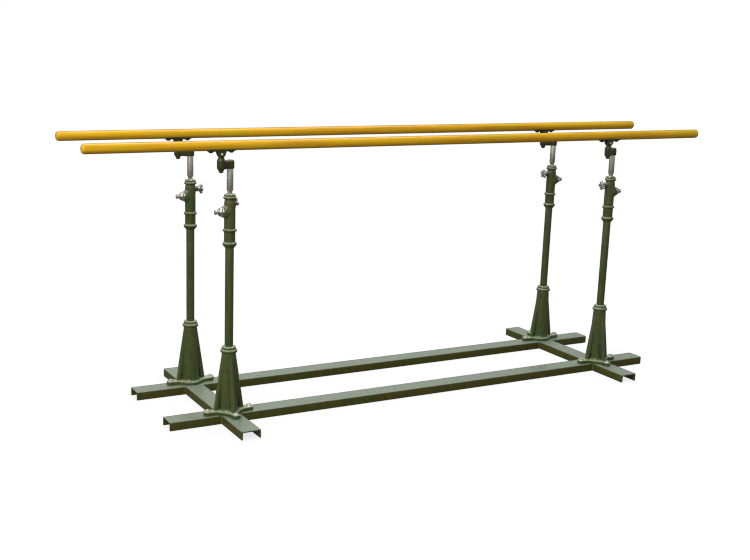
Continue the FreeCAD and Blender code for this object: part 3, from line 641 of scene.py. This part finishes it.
def flange_outline(steps):
    """The flange's edge: a disc with three arms that it meets in hollow curves."""

    def field(x, y):
        edge = np.hypot(x, y) - 58
        for degrees, reach in LUGS:
            aim_x, aim_y = math.cos(math.radians(degrees)), math.sin(math.radians(degrees))
            along = np.clip(x * aim_x + y * aim_y, 0, reach)
            arm = np.hypot(x - along * aim_x, y - along * aim_y) - 20
            edge = smooth_union(edge, arm, 26)
        return edge

    return outline_radii(field, 30, 150, steps)


def flange_plate():
    """The flange, thick with a rounded upper edge. Its profile's points are (inset, height)."""
    steps = 240
    base = CHANNEL_HEIGHT
    outline = flange_outline(steps)
    angles = np.linspace(0, math.tau, steps, endpoint=False)
    profile = soften([(0, base + 0.2), (0, base + 16.5, 4), (9, base + 18), (26, base + 20)])
    return surface("flange", [level_ring(angles, outline - inset, height) for inset, height in profile])


def base_casting():
    """The casting: flange, lugs, leaning ribs and cone melted together, and the turned rings on top."""
    base = CHANNEL_HEIGHT
    top = high("base_casting_front_left").z
    ring = top - 28
    cone = turned("cone", soften([
        (AXIS, base + 1),
        (56, base + 1),
        (54, base + 17),
        (46, base + 26, 10),
        (33, ring - 12, 20),
        (31.5, ring - 3),
        (AXIS, ring - 3),
    ]), steps=96)
    parts = [cone, flange_plate()]
    for degrees, reach in LUGS:
        away = Matrix.Rotation(math.radians(degrees), 3, "Z") @ Vector((1, 0, 0))
        foot = away * 65.5 + UP * (base + 4)
        head = away * 22 + UP * (ring - 5)
        rib = head - foot
        parts.append(rod(12.5, rib.length, foot, rib, end_radius=11, rounding=3))
        parts.append(rod(20.5, LUG_HEIGHT, away * reach + UP * (base + 0.2), rounding=4))
    post_bore = rod(16, top, (0, 0, base - 10))
    body = bored(cast("casting", parts, voxel=1.3, smoothing=3), [post_bore])
    rings = turned("rings", soften([
        (20, ring - 7),
        (31, ring - 7),
        (31.6, ring - 2.5, 1.5),
        (37.5, ring, 1.5),
        (39, ring + 3, 2),
        (39, ring + 9, 3),
        (34.5, ring + 13, 1.5),
        (31.8, ring + 15, 1.5),
        (32.8, ring + 18, 2),
        (32.4, ring + 24, 2.5),
        (27, top - 0.5, 2),
        (20, top, 1),
        (19.1, top - 2),
        (19.1, ring - 7),
    ]), steps=96, closed=True, sharp_angle=60)
    return joined("base_casting", [body, rings])


def lower_tube(node):
    """The fixed tube between a casting and its sleeve."""
    outer, inner = 19, 15
    bottom, top = low(node).z, high(node).z
    return turned("tube", soften([
        (outer, bottom, 0.6), (outer, top, 0.6), (inner, top, 0.6), (inner, bottom, 0.6),
    ]), steps=96, closed=True)


def hex_bolt(x, y, seat, bottom):
    """A hexagon bolt on its washer, with its threaded shank down through the nut."""
    head = turned("head", [
        (AXIS, seat - 1),
        (15.5, seat - 1),
        (15.5, seat + 1.4),
        (14.8, seat + 2),
        (10.9, seat + 2),
        (BOLT_CORNERS, seat + 2.2),
        (BOLT_CORNERS, seat + 7.4),
        (9.8, seat + 8.4),
        (7.5, seat + 9.2),
        (4, seat + 9.6),
        (AXIS, seat + 9.7),
    ], hexagon(BOLT_CORNERS), steps=72, sharp_angle=25)
    shank = turned("shank", [
        (AXIS, bottom),
        *thread(5.4, 6, bottom + 0.1, seat - 2),
        (5.4, seat - 1),
        (AXIS, seat - 1),
    ], steps=32, sharp_angle=20)
    turn = (x * 7 + y * 3) % 60
    return [placed(head, (x, y, 0), turn=turn), placed(shank, (x, y, 0))]


def hex_nut(x, y, bottom, top):
    bore = 6.1
    return placed(turned("nut", [
        (bore, bottom + 0.6),
        (bore + 0.8, bottom),
        (9.6, bottom),
        (BOLT_CORNERS, bottom + 1),
        (BOLT_CORNERS, top - 0.9),
        (10, top),
        (bore + 0.8, top),
        (bore, top - 0.6),
    ], hexagon(BOLT_CORNERS), steps=72, closed=True, sharp_angle=25), (x, y, 0), turn=(x * 5 + y) % 60)


def bolt_places():
    """Through every lug. The rear castings mirror the front ones."""
    for name, (_, row) in CORNERS.items():
        centre = middle(f"lower_tube_{name}")
        for degrees, reach in LUGS:
            angle = math.radians(degrees)
            yield centre.x + reach * math.cos(angle), centre.y - reach * math.sin(angle) * row


def build_castings():
    casting = base_casting()
    for name, (_, row) in CORNERS.items():
        centre = middle(f"lower_tube_{name}")
        half_turn = 0 if row < 0 else 180
        body = placed(casting.copy(), (centre.x, centre.y, 0), turn=half_turn)
        show(body, f"base_casting_{name}")
        tube = placed(lower_tube(f"lower_tube_{name}"), (centre.x, centre.y, 0))
        show(tube, f"lower_tube_{name}")
    bpy.data.meshes.remove(casting)
    bolt_seat = CHANNEL_HEIGHT + LUG_HEIGHT - 0.5
    bolts = []
    nuts = []
    for x, y in bolt_places():
        bolts += hex_bolt(x, y, bolt_seat, low("base_bolts").z)
        nuts.append(hex_nut(x, y, low("base_nuts").z, high("base_nuts").z))
    show(joined("bolts", bolts), "base_bolts")
    show(joined("nuts", nuts), "base_nuts")


# Sleeves, index plungers and clamp knobs


def boss_flare(angles, radius):
    """The plunger's boss is tall where it meets the sleeve, and no wider than the sleeve there."""
    sleeve_radius = 25
    if radius < sleeve_radius:
        return np.full(len(angles), float(radius))
    across = sleeve_radius + (radius - sleeve_radius) * 0.1
    return radius * across / np.hypot(across * np.cos(angles), radius * np.sin(angles))


def sleeve(knob_turn):
    """A sleeve whose index plunger points along -X. The clamp boss points along +X, or turned from it."""
    bottom, top = low("sleeve_front_left").z, high("sleeve_front_left").z
    index_height = middle("index_pin_front_left").z
    clamp_height = joint_place("clamp_front_right").z
    shell = turned("shell", soften([
        (19.2, bottom),
        (22.6, bottom, 1.5),
        (23.6, bottom + 4, 1.5),
        (29.6, bottom + 9, 5),
        (32.3, bottom + 16, 2),
        (32.3, bottom + 20, 1.5),
        (27.5, bottom + 24, 2),
        (25, bottom + 25.5, 1),
        (25, bottom + 73.5, 1),
        (31.4, bottom + 76.5, 2),
        (31.4, bottom + 83.5, 2),
        (25, bottom + 86.5, 1),
        (25, top - 38, 3),
        (22.6, top - 26, 4),
        (23.2, top - 21.5, 1),
        (29.9, top - 18, 1.5),
        (29.9, top - 13, 2.5),
        (24.2, top - 9, 1),
        (25.6, top - 5.5, 1),
        (25.6, top - 2, 1.5),
        (23.5, top, 1.2),
        (17.2, top),
        (17.2, top - 30),
        (15.5, top - 30),
        (15.5, bottom + 50),
        (19.2, bottom + 44),
    ]), steps=96, closed=True)
    left = Vector((-1, 0, 0))
    knob = Matrix.Rotation(math.radians(knob_turn), 3, "Z") @ Vector((1, 0, 0))
    boss = turned("boss", soften([
        (AXIS, 4), (40, 4), (36, 20, 8), (29, 27, 4), (20, 33.5, 2), (AXIS, 33.5),
    ]), boss_flare)
    clamp_boss = rod(13.5, 22, knob * 16 + UP * clamp_height, knob, end_radius=12, rounding=2)
    parts = [shell, placed(boss, (0, 0, index_height), left), clamp_boss]
    return bored(cast("sleeve", parts, voxel=0.8, smoothing=2), [
        rod(SCREW_HOLE, 60, (0, 0, index_height), left),
        rod(SCREW_HOLE, 60, (0, 0, clamp_height), knob),
    ])


def plunger_bell():
    """The bell over the plunger's spring, along +Z from its flange, which overlaps the sleeve's boss."""
    return turned("bell", soften([
        (9, -3.4),
        (23.8, -3.4, 1),
        (24, -0.8, 1),
        (18.6, 0, 0.6),
        (19.8, 2, 1),
        (19.6, 9, 6),
        (16.5, 16, 4),
        (10, 19.2, 3),
        (8.6, 19.6, 0.5),
        (8.4, 24.2, 1.2),
        (4.3, 24.2, 0.3),
        (4.3, 22.8),
        (8.2, 22.8, 0.6),
        (9, 2),
    ]), steps=96, closed=True, sharp_angle=45)


def plunger(node):
    """The locking pin, its collar, its rod and the knurled pull knob, along +Z from the pin's tip."""
    length = span(node).x
    return turned("plunger", soften([
        (AXIS, 0),
        (5.9, 0, 1.6),
        (5.9, 27.4),
        (8.6, 27.4, 0.4),
        (8.6, 30.4, 0.4),
        (4, 30.4),
        (4, length - 6.3, 0.6),
        (6.5, length - 6.2, 0.6),
        (10, length - 5, 0.8),
        (10, length - 1.4, 0.8),
        (8, length, 1.5),
        (AXIS, length),
    ]), knurled(9.5, 0.3, 30), steps=180, sharp_angle=40)


def star_outline(steps, spin):
    """The edge of a knob with five round lobes, turned by a number of degrees."""
    hub_radius, lobe_reach, lobe_radius = 15, 16.8, 7.4

    def field(x, y):
        star = np.hypot(x, y) - hub_radius
        for index in range(5):
            angle = math.radians(spin + 72 * index)
            lobe_x, lobe_y = lobe_reach * math.cos(angle), lobe_reach * math.sin(angle)
            star = smooth_union(star, np.hypot(x - lobe_x, y - lobe_y) - lobe_radius, 3.5)
        return star

    return outline_radii(field, 5, 40, steps)


def clamp_knob(length, spin):
    """The clamp screw, its hub and its star, along +Z from the screw's tip."""
    steps = 240
    star_radius = 24.2
    lobes = star_outline(steps, spin)

    def shape(angles, radius):
        """Round at the hub, and more and more the star's outline further out."""
        share = np.clip((radius - 11) / 6, 0, 1)
        return radius * (1 - share + share * lobes / star_radius)

    screw = turned("screw", [
        (AXIS, 0),
        (4.6, 0),
        (5.9, 1),
        *thread(5.9, 5.2, THREAD_PITCH, 27),
        (5.9, 28),
        (AXIS, 28),
    ], steps=48, sharp_angle=20)
    star = turned("star", soften([
        (AXIS, 26.5),
        (8.2, 26.5, 1),
        (9, length - 13, 2),
        (17, length - 11.5, 2),
        (star_radius, length - 9.8, 1.8),
        (star_radius, length - 2, 2.2),
        (20, length - 0.5, 2),
        (13, length - 1.4, 2),
        (9, length, 1.2),
        (5, length, 0.8),
        (AXIS, length - 0.6),
    ]), shape, steps=steps, sharp_angle=45)
    return joined("clamp_knob", [screw, star])


def build_sleeves():
    """Sleeves and what is on them. A right sleeve is a left one after half a turn."""
    bell_seat = 37
    screw_tip = 14.6
    knob_length = span("clamp_knob_rear_left").x
    sleeves = {}
    bells = []
    for name, (side, _) in CORNERS.items():
        centre = middle(f"lower_tube_{name}")
        heading = Vector(JOINTS[f"clamp_{name}"]["axis"])
        knob_turn = round(math.degrees(math.atan2(heading.y * -side, heading.x * -side)))
        if knob_turn not in sleeves:
            sleeves[knob_turn] = sleeve(knob_turn)
        half_turn = 0 if side < 0 else 180
        body = placed(sleeves[knob_turn].copy(), (centre.x, centre.y, 0), turn=half_turn)
        show(body, f"sleeve_{name}")
        away = Vector((side, 0, 0))
        pin = middle(f"index_pin_{name}")
        seat = Vector((centre.x, centre.y, pin.z)) + away * bell_seat
        bells.append(placed(plunger_bell(), seat, away))
        pin_tip = pin - away * span(f"index_pin_{name}").x / 2
        show(placed(plunger(f"index_pin_{name}"), pin_tip, away), f"index_pin_{name}")
        start = Vector((centre.x, centre.y, joint_place(f"clamp_{name}").z)) + heading * screw_tip
        knob = clamp_knob(knob_length, KNOB_SPINS[name])
        show(placed(knob, start, heading), f"clamp_knob_{name}")
    show(joined("bells", bells), "index_housings")


# Posts, crank arms and rail heads


def post(node):
    """A ground post with a chamfered groove at every index step, and the spigot for its crank arm."""
    radius, groove_radius, spigot_radius = 14, 9.75, 11
    bottom, top = low(node).z, high(node).z
    shoulder = top - 34
    profile = [(AXIS, bottom), (radius, bottom, 1.2)]
    for step in range(-11, 3):
        groove = middle("index_pin_front_left").z + STEP_PITCH * step
        profile += [
            (radius, groove - 10.2, 0.8),
            (groove_radius, groove - 6.4, 0.5),
            (groove_radius, groove + 6.4, 0.8),
            (radius, groove + 9.5, 0.8),
        ]
    profile += [(radius, shoulder, 0.6), (spigot_radius, shoulder), (spigot_radius, top, 1), (AXIS, top)]
    return turned("post", soften(profile, 4), steps=96, sharp_angle=40)


def crank_arm(node):
    """A cast arm along -X: a round head over the post, and a barrel for the rail head's stem."""
    bottom, top = low(node).z, high(node).z
    reach = CRANK_OFFSET.length
    head = bottom + 4.15
    head_height, web_height, web_width = 39, 38, 26
    parts = [
        turned("head", soften([
            (AXIS, head),
            (18.5, head, 5),
            (18.5, head + head_height, 10),
            (AXIS, head + head_height),
        ]), steps=72),
        placed(turned("barrel", soften([
            (AXIS, bottom),
            (11.5, bottom, 1),
            (18, bottom + 9, 4),
            (18, top - 8, 4),
            (14, top, 1),
            (AXIS, top),
        ]), steps=72), (-reach, 0, 0)),
        block((-reach, -web_width / 2, head + 0.5), (reach, web_width, web_height), rounding=8),
    ]
    return bored(cast("crank", parts, voxel=0.8, smoothing=5), [
        rod(11.05, 35, (0, 0, head - 0.5)),
        rod(10.05, top - bottom + 20, (-reach, 0, bottom - 10)),
    ])


def rail_head(node, play):
    """The stem through the crank's barrel, its collar, and the tongue with its pivot hole or slot."""
    bottom, top = low(node).z, high(node).z
    # The journal fills the crank's barrel, and the collar rests on it.
    journal, collar = low("crank_arm_front_left").z, high("crank_arm_front_left").z
    pivot = top - TONGUE_HALF_WIDTH
    stem = turned("stem", soften([
        (AXIS, bottom),
        (4.2, bottom),
        (5, bottom + 1),
        *thread(5, 4.4, bottom + THREAD_PITCH, journal - THREAD_PITCH),
        (5, journal),
        (10, journal),
        (10, collar),
        (13.8, collar, 0.8),
        (13.4, collar + 2.5, 1),
        (11.5, collar + 5, 1.2),
        (AXIS, collar + 5),
    ]), steps=72, sharp_angle=25)
    outline = [(-TONGUE_HALF_WIDTH, collar + 2), (TONGUE_HALF_WIDTH, collar + 2)]
    for angle in np.linspace(0, math.pi, 13):
        across, up = TONGUE_HALF_WIDTH * math.cos(angle), TONGUE_HALF_WIDTH * math.sin(angle)
        outline.append((across, pivot + up))
    bevel = {
        "width": 0.8 * MM,
        "segments": 2,
        "limit_method": "ANGLE",
        "angle_limit": math.radians(40),
    }
    tongue = with_modifiers(prism("tongue", outline, TONGUE_THICKNESS, along="Y"), ("BEVEL", bevel))
    holes = [rod(PIVOT_HOLE, 30, (offset, -15, pivot), (0, 1, 0)) for offset in sorted({-play, play})]
    return joined("rail_head", [stem, bored(tongue, holes)])


def swivel_nut(node):
    """A domed nut on its washer, below the barrel."""
    bottom, top = low(node).z, high(node).z
    corners = 9.8
    return turned("nut", [
        (5.1, bottom + 0.8),
        (6, bottom),
        (7.6, bottom),
        (8.9, bottom + 0.9),
        (corners, bottom + 2.4),
        (corners, top - 2.4),
        (9, top - 2),
        (10.4, top - 2),
        (10.8, top - 1.6),
        (10.8, top - 0.2),
        (5.1, top - 0.2),
    ], hexagon(corners), steps=72, closed=True, sharp_angle=25)


def build_heads():
    """Posts, cranks and rail heads. The right heads have slots in place of pivot holes."""
    slot_play = 0.9
    arm = crank_arm("crank_arm_front_left")
    lean = math.degrees(math.atan2(CRANK_OFFSET.y, CRANK_OFFSET.x))
    for name, (side, row) in CORNERS.items():
        centre = middle(f"post_{name}")
        show(placed(post(f"post_{name}"), (centre.x, centre.y, 0)), f"post_{name}")
        show(placed(arm.copy(), (centre.x, centre.y, 0), turn=-lean * row), f"crank_arm_{name}")
        head = middle(f"rail_head_{name}")
        tongue = rail_head(f"rail_head_{name}", slot_play if side > 0 else 0)
        show(placed(tongue, (head.x, head.y, 0)), f"rail_head_{name}")
        show(placed(swivel_nut(f"swivel_nut_{name}"), (head.x, head.y, 0)), f"swivel_nut_{name}")
    bpy.data.meshes.remove(arm)


# Rails and saddles


def oval(height, width, steps):
    angles = np.linspace(0, math.tau, steps, endpoint=False)
    return np.cos(angles) * width / 2, np.sin(angles) * height / 2


def rail(node):
    """An oval bar whose ends are rounded over."""
    steps = 96
    rounding = 14
    half_length = span(node).x / 2
    stations = [(0, rounding)]
    for angle in np.linspace(0, math.pi / 2, 11)[1:]:
        stations.append((rounding * (1 - math.cos(angle)), rounding * (1 - math.sin(angle))))
    rings = []
    for end in (-1, 1):
        for depth, inset in stations if end < 0 else reversed(stations):
            across, up = oval(RAIL_HEIGHT - inset * 2, RAIL_WIDTH - inset * 2, steps)
            rings.append(np.column_stack([np.full(steps, end * (half_length - depth)), across, up]))
    return surface(node, rings, sharp_angle=30)


def saddle(bottom):
    """A thin strap under the rail, two domed screw bosses and two cheeks, about the rail's centre."""
    strap_length = 127
    cheek_thickness = 7.5
    cheek_place = TONGUE_THICKNESS / 2 + 0.3 + cheek_thickness / 2
    rail_half = RAIL_HEIGHT / 2
    angles = np.linspace(-math.pi * 0.76, -math.pi * 0.24, 25)
    outer = [(math.cos(angle) * 24, math.sin(angle) * (rail_half + 4.5)) for angle in angles]
    inner = [(math.cos(angle) * 19.5, math.sin(angle) * (rail_half - 0.5)) for angle in reversed(angles)]
    parts = [prism("strap", outer + inner, strap_length)]
    for end in (-1, 1):
        boss = turned("boss", soften([
            (AXIS, -rail_half - 9.6),
            (8, -rail_half - 9.6, 2.5),
            (12.5, -rail_half - 2, 3),
            (AXIS, -rail_half + 2),
        ]), steps=48)
        parts.append(placed(boss, (SADDLE_SCREW_REACH * end, 0, 0)))
    right = [(20, -rail_half), (20, -rail_half - 7, 4), (13.5, bottom + 5, 4), (8, bottom, 4)]
    left = [(-across, up, *rounding) for across, up, *rounding in reversed(right)]
    outline = soften(right + left)
    for face in (-1, 1):
        cheek = prism("cheek", outline, cheek_thickness, along="Y")
        parts.append(placed(cheek, (0, cheek_place * face, 0)))
    return cast("saddle", parts, voxel=0.8, smoothing=2)


def rail_cutter():
    """The rail's section, a little larger, to cut a saddle to it."""
    steps = 64
    across, up = oval(RAIL_HEIGHT + 0.1, RAIL_WIDTH + 0.1, steps)
    rings = [np.column_stack([np.full(steps, end), across, up]) for end in (-100, 100)]
    return surface("rail_cutter", rings)


def pivot_pin():
    """A pin along +Z through the cheeks, with a domed head and a peened end."""
    return turned("pin", soften([
        (AXIS, -15.5),
        (3.6, -15.5, 0.6),
        (5, -14.6, 0.4),
        (5, 15.4),
        (5.4, 15.4, 0.5),
        (5.2, 16.4, 1),
        (3.5, 17.4, 1.2),
        (AXIS, 17.5),
    ]), steps=48, sharp_angle=35)


def saddle_screw(x, y, bottom):
    corners = 7.5
    screw = turned("screw", [
        (AXIS, 0), (6, 0), (corners, 1), (corners, 4.8), (5.5, 5), (4, 5.2), (4, 28), (AXIS, 28),
    ], hexagon(corners), steps=48, sharp_angle=25)
    return placed(screw, (x, y, bottom), turn=(x * 3) % 60)


def build_rails():
    for name, row in ROWS.items():
        centre = middle(f"rail_{name}")
        show(placed(rail(f"rail_{name}"), centre), f"rail_{name}")
        pivot_height = middle(f"pivot_pins_{name}").z
        cheek_bottom = low(f"rail_saddles_{name}").z
        saddles = []
        pins = []
        screws = []
        for side in SIDES:
            pivot = Vector((middle(f"rail_head_{name}_{side}").x, centre.y, pivot_height))
            body = bored(saddle(cheek_bottom - centre.z), [
                rail_cutter(),
                rod(PIVOT_HOLE, 60, (0, -30, pivot.z - centre.z), (0, 1, 0)),
            ])
            saddles.append(placed(body, (pivot.x, centre.y, centre.z)))
            pins.append(placed(pivot_pin(), pivot, (0, row, 0)))
            for end in (-1, 1):
                screw_x = pivot.x + SADDLE_SCREW_REACH * end
                screws.append(saddle_screw(screw_x, centre.y, low(f"saddle_screws_{name}").z))
        show(joined("saddles", saddles), f"rail_saddles_{name}")
        show(joined("pins", pins), f"pivot_pins_{name}")
        show(joined("screws", screws), f"saddle_screws_{name}")


build_channels()
build_welds()
build_castings()
build_sleeves()
build_heads()
build_rails()


# Stage, light and camera


def build_stage():
    """A plain floor that shows as white with faint shadows, and throws little light up."""
    bpy.ops.mesh.primitive_plane_add(size=80, location=(0, 0, 0))
    floor = bpy.context.object
    floor.name = "floor"
    paper = bpy.data.materials.new("floor_paper")
    paper.use_nodes = True
    surface_node = paper.node_tree.nodes["Principled BSDF"]
    surface_node.inputs["Base Color"].default_value = (0.03, 0.025, 0.019, 1)
    surface_node.inputs["Roughness"].default_value = 1
    surface_node.inputs["Specular IOR Level"].default_value = 0
    surface_node.inputs["Emission Color"].default_value = (1, 0.83, 0.64, 1)
    surface_node.inputs["Emission Strength"].default_value = 0.14
    floor.data.materials.append(paper)
    floor.is_shadow_catcher = True


def colour_ramp(tree, source, stops):
    """Grey levels along a value, from a dict of position to level."""
    ramp = tree.nodes.new("ShaderNodeValToRGB")
    elements = ramp.color_ramp.elements
    elements.remove(elements[0])
    for index, (position, level) in enumerate(stops.items()):
        element = elements[0] if index == 0 else elements.new(position)
        element.position = position
        element.color = (level, level, level, 1)
    tree.links.new(source, ramp.inputs["Fac"])
    return ramp.outputs["Color"]


def build_sky():
    """White below the horizon and just above it. Higher up, bright to the left and dim to the right."""
    world = bpy.data.worlds.new("studio")
    world.use_nodes = True
    bpy.context.scene.world = world
    tree = world.node_tree
    background = tree.nodes["Background"]
    direction = tree.nodes.new("ShaderNodeTexCoord").outputs["Generated"]
    parts = tree.nodes.new("ShaderNodeSeparateXYZ")
    tree.links.new(direction, parts.inputs["Vector"])
    bright = colour_ramp(tree, parts.outputs["Z"], {0: 1, 0.08: 1, 0.16: 0.75, 0.4: 0.6, 1: 0.6})
    dim = colour_ramp(tree, parts.outputs["Z"], {0: 1, 0.08: 1, 0.14: 0.3, 0.4: 0.15, 0.8: 0.3, 1: 0.6})
    towards_right = tree.nodes.new("ShaderNodeVectorMath")
    towards_right.operation = "DOT_PRODUCT"
    towards_right.inputs[1].default_value = (0.85, -0.53, 0)
    tree.links.new(direction, towards_right.inputs[0])
    side = tree.nodes.new("ShaderNodeMapRange")
    side.inputs["From Min"].default_value = -0.6
    side.inputs["From Max"].default_value = 0.5
    tree.links.new(towards_right.outputs["Value"], side.inputs["Value"])
    mix = tree.nodes.new("ShaderNodeMix")
    mix.data_type = "RGBA"
    tree.links.new(side.outputs["Result"], mix.inputs["Factor"])
    sockets = [socket for socket in mix.inputs if socket.type == "RGBA"]
    tree.links.new(bright, sockets[0])
    tree.links.new(dim, sockets[1])
    result = next(socket for socket in mix.outputs if socket.type == "RGBA")
    tree.links.new(result, background.inputs["Color"])
    background.inputs["Strength"].default_value = 1.02


def area_light(name, place, target, size, power, colour=(1, 1, 1)):
    light = bpy.data.lights.new(name, "AREA")
    light.shape = "RECTANGLE"
    light.size, light.size_y = size
    light.energy = power
    light.color = colour
    lamp = bpy.data.objects.new(name, light)
    bpy.context.scene.collection.objects.link(lamp)
    lamp.location = place
    lamp.rotation_euler = (Vector(target) - Vector(place)).to_track_quat("-Z", "Y").to_euler()


def build_lights():
    area_light("key", (-4.5, -3.5, 4.5), (0, 0, 0.8), (3.0, 2.0), 330, (1.0, 0.95, 0.84))
    area_light("top", (0.5, 1.0, 5.5), (0, 0, 0.8), (5.0, 3.0), 210)


def build_camera():
    """A camera in front of the left end, a little above the rails and looking down along them."""
    yaw = math.radians(27.745)
    pitch = math.radians(-12.957)
    roll = math.radians(1.569)
    forward = Vector((math.sin(yaw) * math.cos(pitch), math.cos(yaw) * math.cos(pitch), math.sin(pitch)))
    level_right = Vector((math.cos(yaw), -math.sin(yaw), 0))
    level_up = level_right.cross(forward)
    right = level_right * math.cos(roll) + level_up * math.sin(roll)
    up = level_up * math.cos(roll) - level_right * math.sin(roll)
    data = bpy.data.cameras.new("camera")
    data.sensor_width = 36
    data.lens = 54.6
    data.shift_x = 0.0612
    data.shift_y = 0.011
    data.clip_end = 100
    camera = bpy.data.objects.new("camera", data)
    bpy.context.scene.collection.objects.link(camera)
    turn = Matrix((right, up, -forward)).transposed()
    camera.matrix_world = Matrix.Translation((-3.0615, -5.019, 1.842)) @ turn.to_4x4()
    bpy.context.scene.camera = camera


build_stage()
build_sky()
build_lights()
build_camera()
bpy.context.scene.view_settings.view_transform = "Standard"
